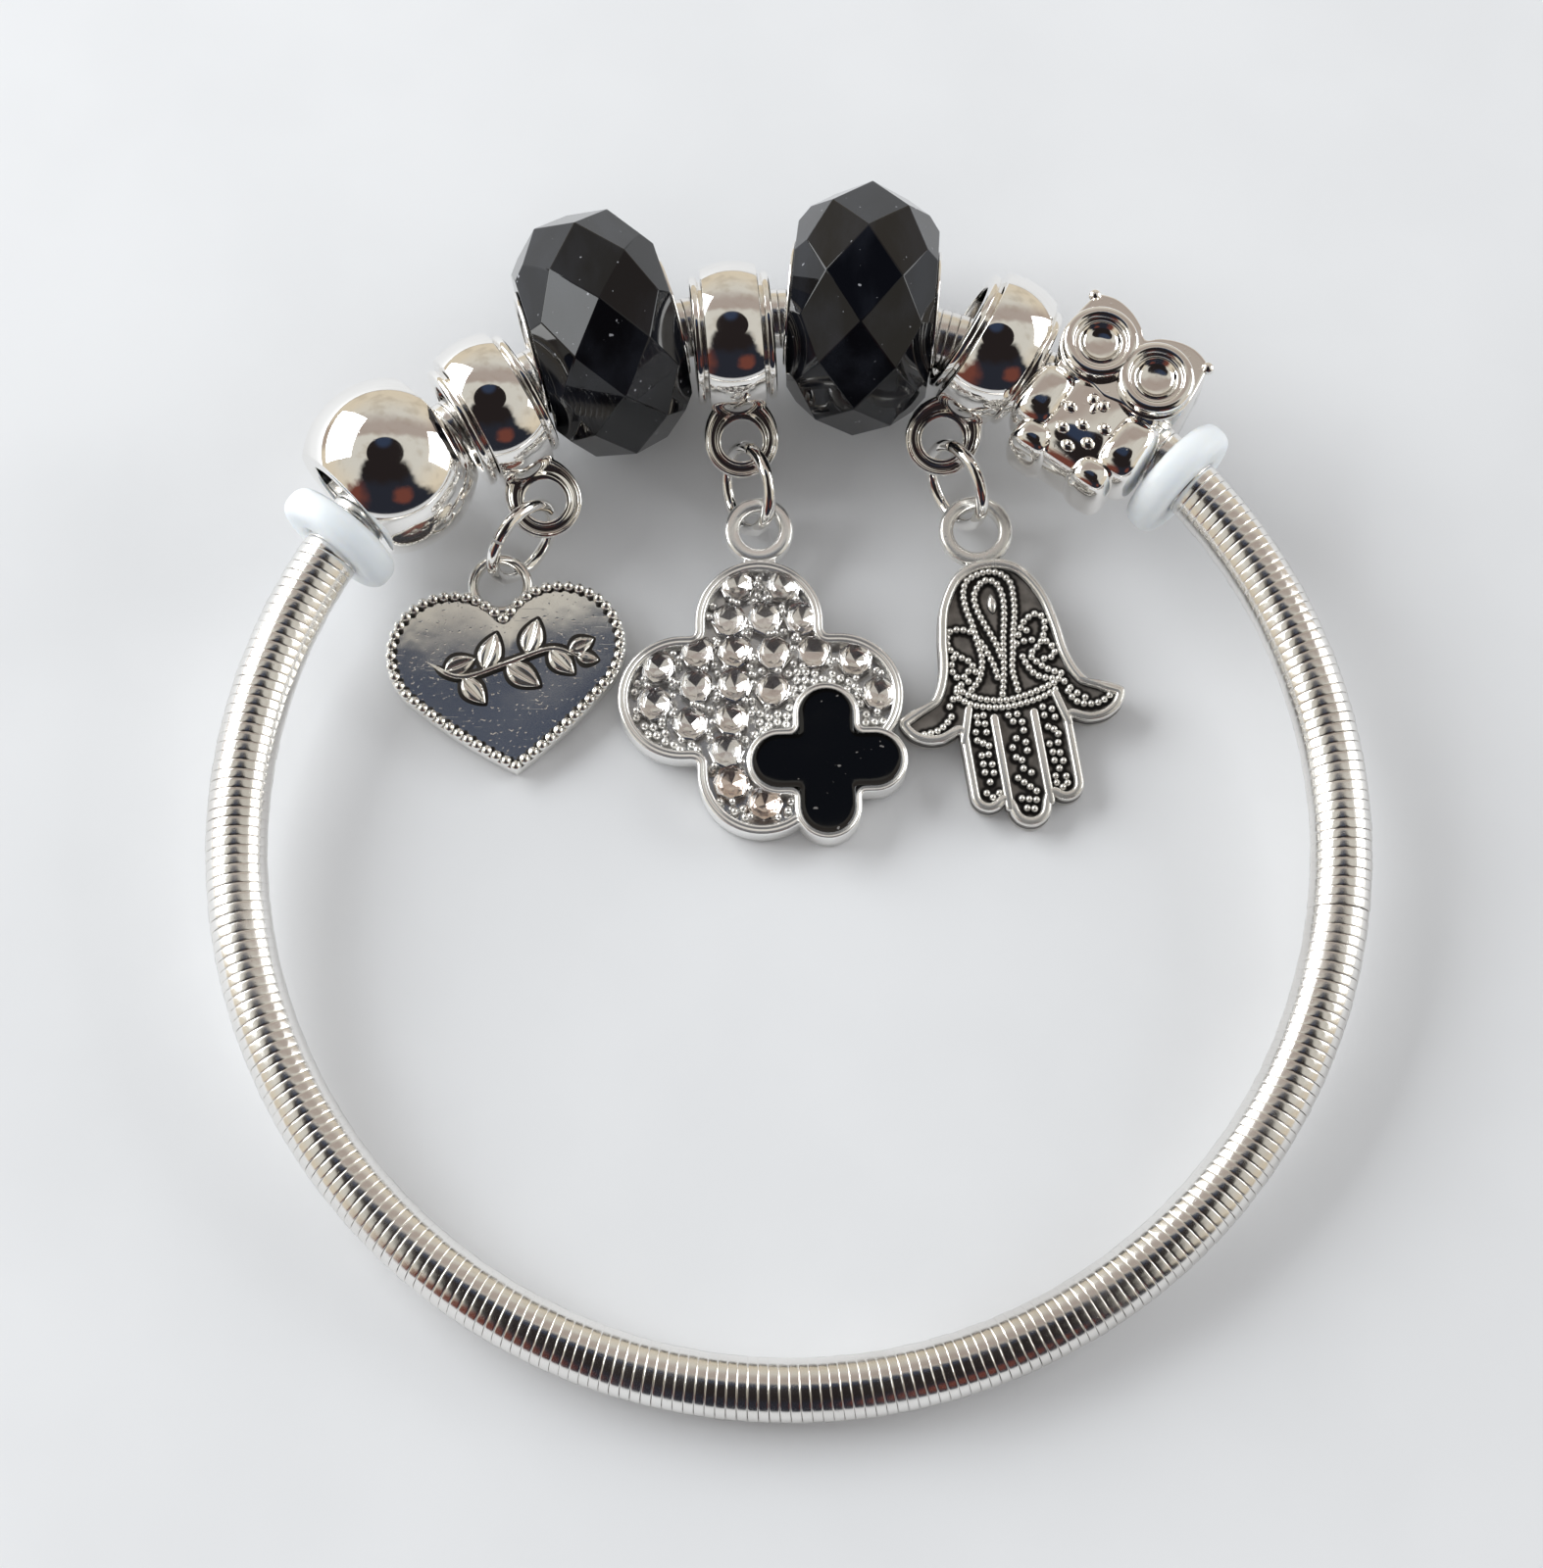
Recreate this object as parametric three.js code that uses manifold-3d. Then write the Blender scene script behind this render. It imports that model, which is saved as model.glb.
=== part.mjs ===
// A charm bangle lying on its side: a springy coil-wound band with a row of large-hole
// beads pushed on between two rubber stoppers, and three cast charms on jump rings.
//
// Millimetres, +Z up. Z = 0 is the surface that the bangle lies on, X runs across the
// bangle and +Y points from the wrist hole to the row of beads. "Station" is an angle
// along the band, clockwise from +Y as seen from above.

import * as THREE from 'three';
import { mergeVertices } from 'three/addons/utils/BufferGeometryUtils.js';
import { ConvexGeometry } from 'three/addons/geometries/ConvexGeometry.js';
import Module from 'manifold-3d';

const wasm = await Module();
wasm.setup();

const { PI, sin, cos, sqrt, atan2 } = Math;
const rad = THREE.MathUtils.degToRad;

// ---------------------------------------------------------------- driving dimensions

const wristDiameter = 57.2; // clear inside width of the bare band
const coilDiameter = 3.4; // outside of the wound band
const coilBore = 2.4;
const coreDiameter = 1.8; // the wire that the coil is wound over
const buttGap = 0.3; // where the band's two ends meet
const coilButtStation = 99;
const coreButtStation = 8;
const bandTilt = 5; // the beads are fatter than the band, so their side lies higher

const bandRadius = wristDiameter / 2 + coilDiameter / 2;
const bandLift = coilDiameter / 2 + bandRadius * sin(rad(bandTilt));

// Beads and stoppers in order along the band. station: degrees; turn: extra degrees about
// the band's upright, taken up by the loose hole; out and lift: how far the loose bead
// sits outwards from and above the band's own line; roll: degrees about its hole;
// pitch: degrees that its left end is tipped up.
const row = {
  stopper_left: { station: -56.2, turn: 4, out: 0.15, lift: 0, roll: 0 },
  ball_bead: { station: -46.7, turn: 2, out: 0.7, lift: 0, roll: 0 },
  bail_bead_heart: { station: -34.2, turn: 3, out: -0.35, lift: -0.3, roll: 20 },
  facet_bead_left: { station: -20.1, turn: 3.5, out: 0.82, lift: 0.26, roll: -8 },
  bail_bead_clover: { station: -6.2, turn: 1, out: -0.9, lift: -0.3, roll: 20 },
  facet_bead_right: { station: 7.9, turn: -3, out: 0.8, lift: 0.14, roll: 16 },
  bail_bead_hamsa: { station: 22.7, turn: 5, out: 0.5, lift: -0.1, roll: 20, pitch: 15 },
  owl_bead: { station: 36, turn: -0.5, out: 0.25, lift: 0, roll: 0 },
  stopper_right: { station: 47, turn: -2, out: -0.15, lift: 0, roll: 0 },
};

const stopper = { radius: 3.6, bore: 2.1, halfLength: 0.95, edge: 0.65 };
const ball = { radius: 5, bore: 2.7, halfLength: 3.35, sides: 24, arcs: 8 };
const bail = {
  radius: 4.4, bore: 2.8, halfLength: 2.3, rimRadius: 3.4, rimLength: 0.6,
  loopReach: 5.9, loopOuter: 2.15, loopHole: 1.2, loopThick: 0.9, cheekReach: 3.45,
  sides: 18, arcs: 5,
};
const facet = {
  count: 8, beltRadius: 7.3, halfLength: 4.05, shoulderAt: 2.15, crownAt: 3.4, bore: 3.6,
};
const facetCore = {
  bore: 3.2, wall: 0.15, flangeRadius: 3.6, flangeAt: 4.1, flangeThick: 0.15, sides: 16,
};

// Rounded lumps, wing and foot among them, are given by their middle and half sizes.
const owl = {
  barrelRadius: 3.3, halfLength: 3.3, bore: 2.5, underside: -2.2, browTop: 2.9,
  eyeAcross: 1.87, eyeOut: 1.93, eyeRadius: 2.15, eyeTop: 3.3, lip: 0.45, pupilRadius: 0.95,
  body: { middle: [0, -1.7, 0], size: [3.25, 3.6, 3.5] },
  wing: { middle: [2.8, -2.5, 1], size: [1.15, 1.85, 2.3] },
  foot: { middle: [1.85, -4.65, 0.5], size: [0.95, 0.9, 2.2] },
};
// The brow from the owl's right flank over the ear tuft to the crown: [across, out].
const owlBrow = { flank: [3.5, 2.2], tuft: [3.75, 4.4], arch: [2.2, 5.3], crown: [0, 4] };

// Where the jump rings hang, and the direction of each ring's axis.
const jumpRing = { radius: 2.4, wire: 0.75 };
const jumpRings = {
  heart: { at: [-15.24, 18.02, 2.85], axis: [0.75, -0.64, 0.2] },
  clover: { at: [-2.3, 21.34, 2.92], axis: [-0.86, -0.32, 0.4] },
  hamsa: { at: [9.74, 21.5, 3.09], axis: [-0.82, -0.49, 0.29] },
};

// Every charm is drawn flat, with its hanging ring round the origin and its body towards
// -Y. heading: degrees about the upright; tilt: degrees that the ring end is propped up
// by its jump ring; reach: from the ring's centre to the far end, which rests below.
const backDepth = 0.7; // from a charm's middle plane to its flat back
const charmPlaces = {
  heart: { x: -16.51, y: 15.65, heading: 6, tilt: 6, reach: 11.15 },
  clover: { x: -1.68, y: 18.8, heading: 1.3, tilt: 5.5, reach: 18.22 },
  hamsa: { x: 10.81, y: 18.82, heading: 9, tilt: 5.5, reach: 17.82 },
};
const hangers = {
  heart: { outer: 1.88, hole: 1.27, thick: 0.84 },
  clover: { outer: 2, hole: 1.12, thick: 1 },
  hamsa: { outer: 2.13, hole: 1.3, thick: 0.9 },
};
const neck = { width: 1.8, from: 1.45, to: 3 };

const heart = {
  lobeAcross: 3.1, lobeBack: 3.92, lobeRadius: 3.75, cleft: 1.8, tip: 11.15,
  sideAngle: 48, bendAcross: 3, bendBack: 9.3, border: 0.6, borderLift: 0.15,
};
const clover = {
  centre: [-0.11, -10.15], lobeOffset: 4.42, lobeRadius: 3.65, top: 1.2, rim: 0.58, floor: 0.4,
};
const cell = {
  centre: [3.54, -14.05], lobeOffset: 2.65, lobeRadius: 1.52, wall: 0.37, top: 1.5,
  floor: 0.5, enamelTop: 1.38, clearance: 0.08,
};
const stone = { radius: 0.9, table: 0.45, top: 1.25, sides: 6 };
// The stones' centres from the clover's middle: [across, along].
const stones = [
  [-1.2, 6.7], [1.45, 6.6], [-1.7, 4.6], [0.35, 4.7], [2.45, 4.6], [-3.5, 2.75], [-1.4, 2.75],
  [0.8, 2.6], [3.1, 2.6], [5.4, 2.1], [-5.75, 1.9], [-3.65, 0.75], [-1.45, 0.75], [0.7, 0.45],
  [-6, -0.25], [-4, -1.45], [-1.65, -1.2], [-2, -3.1], [-1.75, -4.95], [0.1, -6.2], [6.7, 0.1],
];
const hamsa = {
  axis: 0.2, rim: 0.62, floor: 0.35, fingerAcross: 2.2, fingerRadius: 1.05, fingerBack: 15.6,
  crotchAngle: 140, middleBack: 16.6, middleRadius: 1.22,
  barAcross: 1.16, barFrom: 11.3, barTo: 16.6, barWidth: 0.42, barHeight: 0.65,
};
// The hand's edge from the wrist to the thumb's tip and back to the fingers: [across, along].
const palmLine = [[1.8, 2.4], [3, 4.1], [3.5, 6.1], [3.75, 8.2], [4.6, 9.8], [6.3, 10.4]];
const thumbLine = [[6.05, 11.7], [4.85, 12.3], [3.25, 11.8]];
const wristBack = 1.84;

// ---------------------------------------------------------------- shared shape tools

function solid(geometry) {
  const bare = geometry.clone();
  bare.deleteAttribute('normal');
  bare.deleteAttribute('uv');
  const merged = mergeVertices(bare, 1e-5);
  const corners = merged.index.array;
  const triangles = [];
  for (let i = 0; i < corners.length; i += 3) {
    const [a, b, c] = corners.slice(i, i + 3);
    if (a !== b && b !== c && c !== a) triangles.push(a, b, c);
  }
  return new wasm.Manifold(new wasm.Mesh({
    numProp: 3,
    vertProperties: new Float32Array(merged.attributes.position.array),
    triVerts: new Uint32Array(triangles),
  }));
}

function geometryOf(manifold) {
  const mesh = manifold.getMesh();
  const geometry = new THREE.BufferGeometry();
  geometry.setAttribute('position', new THREE.BufferAttribute(mesh.vertProperties, 3));
  geometry.setIndex(new THREE.BufferAttribute(mesh.triVerts, 1));
  return geometry;
}

const joined = (...solids) => solids.reduce((sum, next) => sum.add(next));

// A body of revolution about the band's direction (local X), from [radius, along] pairs
// that close on themselves.
function turned(profile, sides) {
  const points = [...profile, profile[0]].map(([r, along]) => new THREE.Vector2(r, along));
  return new THREE.LatheGeometry(points, sides).rotateZ(-PI / 2);
}

// A ring of revolution through a loose hole: a ball cut off square at both ends, with an
// optional flat rim at each end.
function ballProfile({ radius, bore, halfLength, rimRadius, rimLength = 0, arcs }) {
  const reach = halfLength - rimLength;
  const profile = [[bore, -halfLength]];
  if (rimLength > 0) profile.push([rimRadius, -halfLength], [rimRadius, -reach]);
  for (let i = 0; i <= arcs; i++) {
    const along = -reach + (2 * reach * i) / arcs;
    profile.push([sqrt(radius ** 2 - along ** 2), along]);
  }
  if (rimLength > 0) profile.push([rimRadius, reach], [rimRadius, halfLength]);
  profile.push([bore, halfLength]);
  return profile;
}

function disc(radius, height, sides) {
  return new THREE.CylinderGeometry(radius, radius, height, sides).rotateX(PI / 2);
}

function plate(shape, low, high, curveSegments = 8) {
  const options = { depth: high - low, bevelEnabled: false, curveSegments };
  return new THREE.ExtrudeGeometry(shape, options).translate(0, 0, low);
}

const slab = (outline, low, high) => solid(plate(new THREE.Shape(outline), low, high));

function ellipsoid([x, y, z], [rx, ry, rz], sides = 12, arcs = 8) {
  return new THREE.SphereGeometry(1, sides, arcs).scale(rx, ry, rz).translate(x, y, z);
}

// A closed outline moved inwards all round; corners that would cross are left out.
function inset(outline, distance) {
  const side = new THREE.Line3();
  const near = new THREE.Vector3();
  const flat = outline.map(({ x, y }) => new THREE.Vector3(x, y, 0));
  const next = (i) => flat[(i + 1) % flat.length];
  const inward = (a, b) => new THREE.Vector3(a.y - b.y, b.x - a.x, 0).normalize();
  const moved = flat.map((corner, i) => {
    const first = inward(flat[(i + flat.length - 1) % flat.length], corner);
    const second = inward(corner, next(i));
    const stretch = distance / (1 + first.dot(second));
    return corner.clone().addScaledVector(first.add(second), stretch);
  });
  return withoutRepeats(moved.filter((point) => flat.every((corner, i) => {
    side.set(corner, next(i)).closestPointToPoint(point, true, near);
    return near.distanceTo(point) > distance * 0.97;
  })));
}

function withoutRepeats(points, least = 0.03) {
  return points.filter((point, i) => point.distanceTo(points[(i + 1) % points.length]) > least);
}

// ---------------------------------------------------------------- finishes

const finish = {
  coil: { color: 0xd9d6d1, roughness: 0.2, metalness: 1 },
  steel: { color: 0x9c9c9c, roughness: 0.4, metalness: 1 },
  polished: { color: 0xe4e1da, roughness: 0.06, metalness: 1 },
  cast: { color: 0xcfcbc3, roughness: 0.18, metalness: 1 },
  antique: { color: 0xa9a59c, roughness: 0.25, metalness: 1 },
  glass: { color: 0x0a0a0c, roughness: 0.05, metalness: 0 },
  rubber: { color: 0xeef3f8, roughness: 0.4, metalness: 0 },
  enamel: { color: 0x050505, roughness: 0.06, metalness: 0 },
};

const bangle = new THREE.Group();
const band = new THREE.Group();
band.rotation.x = rad(bandTilt);
band.position.z = bandLift;
bangle.add(band);

function addPiece(parent, name, geometry, look) {
  const mesh = new THREE.Mesh(geometry, new THREE.MeshStandardMaterial(finish[look]));
  mesh.name = name;
  parent.add(mesh);
  return mesh;
}

// A place on the band: local X along it, local Y outwards, local Z up.
function placeOnBand({ station, turn, out, lift, pitch = 0 }) {
  const place = new THREE.Group();
  const angle = rad(station);
  const reach = bandRadius + out;
  place.position.set(reach * sin(angle), reach * cos(angle), lift);
  place.rotation.set(0, rad(pitch), -rad(station + turn), 'ZYX');
  band.add(place);
  return place;
}

// ---------------------------------------------------------------- band

class BandLine extends THREE.Curve {
  constructor(buttStation) {
    super();
    this.start = rad(buttStation) + buttGap / bandRadius / 2;
    this.sweep = 2 * PI - buttGap / bandRadius;
  }

  getPoint(t, target = new THREE.Vector3()) {
    const angle = this.start + this.sweep * t;
    return target.set(bandRadius * sin(angle), bandRadius * cos(angle), 0);
  }
}

function roundSection(outerRadius, boreRadius = 0) {
  const section = new THREE.Shape().absarc(0, 0, outerRadius, 0, 2 * PI, false);
  if (boreRadius > 0) {
    section.holes.push(new THREE.Path().absarc(0, 0, boreRadius, 0, 2 * PI, true));
  }
  return section;
}

function alongBand(section, buttStation, steps, curveSegments) {
  const extrudePath = new BandLine(buttStation);
  return new THREE.ExtrudeGeometry(section, {
    steps, curveSegments, extrudePath, bevelEnabled: false,
  });
}

const coilSection = roundSection(coilDiameter / 2, coilBore / 2);
addPiece(band, 'coil_band', alongBand(coilSection, coilButtStation, 56, 5), 'coil');
const coreSection = roundSection(coreDiameter / 2);
addPiece(band, 'core_wire', alongBand(coreSection, coreButtStation, 40, 3), 'steel');

// ---------------------------------------------------------------- stoppers and ball

function stopperGeometry() {
  const { radius, bore, halfLength, edge } = stopper;
  return turned([
    [bore, -halfLength], [radius - edge, -halfLength], [radius, -halfLength + edge],
    [radius, halfLength - edge], [radius - edge, halfLength], [bore, halfLength],
  ], 20);
}

for (const name of ['stopper_left', 'stopper_right']) {
  addPiece(placeOnBand(row[name]), name, stopperGeometry(), 'rubber');
}
const ballGeometry = turned(ballProfile(ball), ball.sides);
addPiece(placeOnBand(row.ball_bead), 'ball_bead', ballGeometry, 'polished');

// ---------------------------------------------------------------- bail beads

// The cast loop: a round eye whose straight cheeks run back up into the ball.
function bailLoop() {
  const { loopReach, loopOuter, loopHole, loopThick, cheekReach } = bail;
  const eye = new THREE.Shape();
  eye.moveTo(loopOuter, -cheekReach);
  eye.lineTo(-loopOuter, -cheekReach);
  eye.absarc(0, -loopReach, loopOuter, PI, 2 * PI, false);
  eye.holes.push(new THREE.Path().absarc(0, -loopReach, loopHole, 0, 2 * PI, true));
  return plate(eye, -loopThick / 2, loopThick / 2, 6);
}

function bailBead() {
  const body = solid(turned(ballProfile(bail), bail.sides));
  const length = 2 * bail.halfLength + 1;
  const bore = new THREE.CylinderGeometry(bail.bore, bail.bore, length, bail.sides);
  const hole = solid(bore.rotateY(PI / bail.sides).rotateZ(-PI / 2));
  return geometryOf(body.add(solid(bailLoop())).subtract(hole));
}

const bailGeometry = bailBead();
for (const charm of ['heart', 'clover', 'hamsa']) {
  const name = `bail_bead_${charm}`;
  const place = placeOnBand(row[name]);
  const swing = new THREE.Group();
  swing.rotation.x = rad(row[name].roll);
  place.add(swing);
  addPiece(swing, name, bailGeometry, 'polished');
}

// ---------------------------------------------------------------- facetted glass beads

// Eight flat rhombs round the belt, then a row of rhombs and a row of five-sided facets
// on each side down to the flat end. Every ring's radius follows from the facets' planes.
function facetGeometry() {
  const { count, beltRadius, halfLength, shoulderAt, crownAt, bore } = facet;
  const pitch = (2 * PI) / count;
  const halfPitch = cos(pitch / 2);
  const shoulderRadius = beltRadius * halfPitch;
  const sideSlope = (beltRadius - shoulderRadius * halfPitch) / shoulderAt;
  const crownRadius = beltRadius - sideSlope * crownAt;
  const endSlope = (shoulderRadius - crownRadius * halfPitch) / (crownAt - shoulderAt);
  const endRadius = (shoulderRadius - endSlope * (halfLength - shoulderAt)) / halfPitch;
  const rings = [
    { radius: beltRadius, along: 0, shift: 0 },
    { radius: shoulderRadius, along: shoulderAt, shift: pitch / 2 },
    { radius: crownRadius, along: crownAt, shift: 0 },
    { radius: endRadius, along: halfLength, shift: 0 },
  ];
  const corners = [];
  for (const { radius, along, shift } of rings) {
    for (let i = 0; i < count; i++) {
      const angle = pitch * i + shift;
      for (const side of along > 0 ? [-1, 1] : [1]) {
        corners.push(new THREE.Vector3(side * along, radius * sin(angle), radius * cos(angle)));
      }
    }
  }
  const hole = new THREE.CylinderGeometry(bore, bore, 2 * halfLength + 1, facetCore.sides);
  return geometryOf(solid(new ConvexGeometry(corners)).subtract(solid(hole.rotateZ(-PI / 2))));
}

// The silver sleeve through the glass, with a thin flange over each end.
function facetCoreGeometry() {
  const { bore, wall, flangeRadius, flangeAt, flangeThick, sides } = facetCore;
  const end = flangeAt + flangeThick;
  return turned([
    [bore, -end], [flangeRadius, -end], [flangeRadius, -flangeAt],
    [bore + wall, -flangeAt], [bore + wall, flangeAt],
    [flangeRadius, flangeAt], [flangeRadius, end], [bore, end],
  ], sides);
}

for (const side of ['left', 'right']) {
  const { roll, ...spot } = row[`facet_bead_${side}`];
  const place = placeOnBand(spot);
  const glass = addPiece(place, `facet_bead_${side}`, facetGeometry(), 'glass');
  glass.rotation.x = -rad(roll);
  addPiece(place, `facet_core_${side}`, facetCoreGeometry(), 'polished');
}

// ---------------------------------------------------------------- owl bead

// A cast owl with big round eyes, seen from above: a barrel for the band to pass
// through, a plump body, wings, feet, and a brow that runs out into two ear tufts.
function browPlate() {
  const { flank, tuft, arch, crown } = owlBrow;
  const brow = new THREE.Shape();
  brow.moveTo(...flank);
  brow.lineTo(...tuft);
  brow.quadraticCurveTo(...arch, ...crown);
  brow.quadraticCurveTo(-arch[0], arch[1], -tuft[0], tuft[1]);
  brow.lineTo(-flank[0], flank[1]);
  return plate(brow, owl.underside, owl.browTop, 5);
}

function limb({ middle, size }, side) {
  const [across, out, up] = middle;
  return ellipsoid([side * across, out, up], size, 10, 6);
}

function owlGeometry() {
  const { barrelRadius, halfLength, bore, underside, eyeAcross, eyeOut, eyeRadius } = owl;
  const { eyeTop, lip, pupilRadius } = owl;
  const barrel = disc(barrelRadius, 2 * halfLength, 18).rotateY(PI / 2);
  const parts = [barrel, ellipsoid(owl.body.middle, owl.body.size), browPlate()];
  const rimTop = eyeTop + lip;
  for (const side of [-1, 1]) {
    const rim = disc(eyeRadius, rimTop - underside, 14);
    parts.push(rim.translate(side * eyeAcross, eyeOut, (rimTop + underside) / 2));
    parts.push(limb(owl.wing, side), limb(owl.foot, side));
  }
  let body = joined(...parts.map(solid));
  for (const side of [-1, 1]) {
    const across = side * eyeAcross;
    const dish = disc(eyeRadius - lip, 2 * lip, 12);
    body = body.subtract(solid(dish.translate(across, eyeOut, rimTop)));
    const pupil = ellipsoid([across, eyeOut, eyeTop], [pupilRadius, pupilRadius, lip], 10, 6);
    body = body.add(solid(pupil));
  }
  const hole = disc(bore, 4 * halfLength, 18).rotateY(PI / 2);
  return geometryOf(body.subtract(solid(hole)));
}

addPiece(placeOnBand(row.owl_bead), 'owl_bead', owlGeometry(), 'cast');

// ---------------------------------------------------------------- jump rings

const upright = new THREE.Vector3(0, 0, 1);
for (const [charm, { at, axis }] of Object.entries(jumpRings)) {
  const wire = new THREE.TorusGeometry(jumpRing.radius, jumpRing.wire / 2, 6, 18);
  const ring = addPiece(bangle, `jump_ring_${charm}`, wire, 'polished');
  ring.position.set(...at);
  ring.quaternion.setFromUnitVectors(upright, new THREE.Vector3(...axis).normalize());
}

// ---------------------------------------------------------------- charms

function placeCharm(charm) {
  const { x, y, heading, tilt, reach } = charmPlaces[charm];
  const place = new THREE.Group();
  place.position.set(x, y, reach * sin(rad(tilt)) + backDepth * cos(rad(tilt)));
  place.rotation.set(rad(tilt), 0, rad(heading), 'ZYX');
  bangle.add(place);
  return place;
}

// The cast ring that a charm hangs by, and the short neck that joins it to the body.
function hanger({ outer, hole, thick }) {
  const eye = new THREE.Shape().absarc(0, 0, outer, 0, 2 * PI, false);
  eye.holes.push(new THREE.Path().absarc(0, 0, hole, 0, 2 * PI, true));
  const bridge = new THREE.BoxGeometry(neck.width, neck.to - neck.from, thick);
  bridge.translate(0, -(neck.from + neck.to) / 2, 0);
  return solid(plate(eye, -thick / 2, thick / 2)).add(solid(bridge));
}

function heartOutline() {
  const { lobeAcross, lobeBack, lobeRadius, cleft, tip, bendAcross, bendBack } = heart;
  const low = rad(-heart.sideAngle);
  const high = atan2(lobeBack - cleft, -lobeAcross);
  const sideX = lobeAcross + lobeRadius * cos(low);
  const sideY = -lobeBack + lobeRadius * sin(low);
  const shape = new THREE.Shape();
  shape.moveTo(0, -tip);
  shape.quadraticCurveTo(bendAcross, -bendBack, sideX, sideY);
  shape.absarc(lobeAcross, -lobeBack, lobeRadius, low, high, false);
  shape.absarc(-lobeAcross, -lobeBack, lobeRadius, PI - high, PI - low, false);
  shape.quadraticCurveTo(-bendAcross, -bendBack, 0, -tip);
  return withoutRepeats(shape.getPoints(7));
}

function heartGeometry() {
  const outline = heartOutline();
  const body = slab(outline, -backDepth, backDepth);
  const face = slab(inset(outline, heart.border), backDepth - heart.borderLift, 2 * backDepth);
  return geometryOf(body.subtract(face).add(hanger(hangers.heart)));
}

// Four round lobes on the arms of a cross that is as broad as they are.
function quatrefoil([x, y], offset, radius, segments) {
  const points = [];
  for (let lobe = 0; lobe < 4; lobe++) {
    const middle = new THREE.Vector2(x, y);
    for (let i = 0; i <= segments; i++) {
      const angle = PI * (i / segments - 0.5);
      const point = new THREE.Vector2(offset + radius * cos(angle), radius * sin(angle));
      points.push(point.rotateAround(new THREE.Vector2(), (lobe * PI) / 2).add(middle));
    }
    const notch = new THREE.Vector2(radius, radius);
    points.push(notch.rotateAround(new THREE.Vector2(), (lobe * PI) / 2).add(middle));
  }
  return withoutRepeats(points);
}

function stoneGeometry([across, along]) {
  const low = clover.floor - 0.1;
  const height = stone.top - low;
  const cut = new THREE.CylinderGeometry(stone.table, stone.radius, height, stone.sides);
  const [x, y] = clover.centre;
  return cut.rotateX(PI / 2).translate(x + across, y + along, low + height / 2);
}

function cloverGeometry() {
  const leaf = quatrefoil(clover.centre, clover.lobeOffset, clover.lobeRadius, 9);
  const wall = quatrefoil(cell.centre, cell.lobeOffset, cell.lobeRadius + cell.wall, 7);
  const well = quatrefoil(cell.centre, cell.lobeOffset, cell.lobeRadius, 7);
  const body = slab(leaf, -backDepth, clover.top)
    .subtract(slab(inset(leaf, clover.rim), clover.floor, 2 * clover.top));
  const set = joined(body, ...stones.map((spot) => solid(stoneGeometry(spot))));
  return geometryOf(joined(set, slab(wall, -backDepth, cell.top), hanger(hangers.clover))
    .subtract(slab(well, cell.floor, 2 * cell.top)));
}

function enamelGeometry() {
  const radius = cell.lobeRadius - cell.clearance;
  const outline = quatrefoil(cell.centre, cell.lobeOffset, radius, 7);
  return plate(new THREE.Shape(outline), cell.floor + cell.clearance, cell.enamelTop);
}

// The open hand: an arched palm, two curled thumbs and three fingers side by side.
function hamsaOutline() {
  const { fingerAcross, fingerRadius, fingerBack, crotchAngle } = hamsa;
  const at = ([across, along]) => new THREE.Vector2(across, -along);
  const half = new THREE.Path();
  half.moveTo(0, -wristBack);
  half.splineThru(palmLine.map(at));
  half.splineThru(thumbLine.map(at));
  half.absarc(fingerAcross, -fingerBack, fingerRadius, 0, -rad(crotchAngle), true);
  half.absarc(0, -hamsa.middleBack, hamsa.middleRadius, 0, -PI / 2, true);
  const right = half.getPoints(3);
  const left = right.map(({ x, y }) => new THREE.Vector2(-x, y));
  return withoutRepeats([...left, ...right.reverse()]);
}

function hamsaGeometry() {
  const outline = hamsaOutline();
  const body = slab(outline, -backDepth, backDepth);
  const field = slab(inset(outline, hamsa.rim), hamsa.floor, 2 * backDepth);
  const bars = [-1, 1].map((side) => {
    const length = hamsa.barTo - hamsa.barFrom;
    const bar = new THREE.BoxGeometry(hamsa.barWidth, length, 2 * hamsa.barHeight);
    return solid(bar.translate(side * hamsa.barAcross, -hamsa.barFrom - length / 2, 0));
  });
  const hand = joined(body.subtract(field), ...bars).translate([hamsa.axis, 0, 0]);
  return geometryOf(hand.add(hanger(hangers.hamsa)));
}

addPiece(placeCharm('heart'), 'heart_charm', heartGeometry(), 'cast');
const cloverPlace = placeCharm('clover');
addPiece(cloverPlace, 'clover_charm', cloverGeometry(), 'cast');
addPiece(cloverPlace, 'clover_enamel', enamelGeometry(), 'enamel');
addPiece(placeCharm('hamsa'), 'hamsa_charm', hamsaGeometry(), 'antique');

// The frame starts under the middle of the whole bangle.
const bounds = new THREE.Box3().setFromObject(bangle, true);
const middle = bounds.getCenter(new THREE.Vector3());
bangle.position.set(-middle.x, -middle.y, -bounds.min.z);

export default bangle;
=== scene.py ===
# A charm bangle lying on its side: a springy coil-wound band, a row of large-hole beads
# between two rubber stoppers, and three cast charms that hang from it on jump rings.
# Lengths in the pieces' own values are millimetres; the meshes are made in metres.

from math import pi, radians

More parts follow.
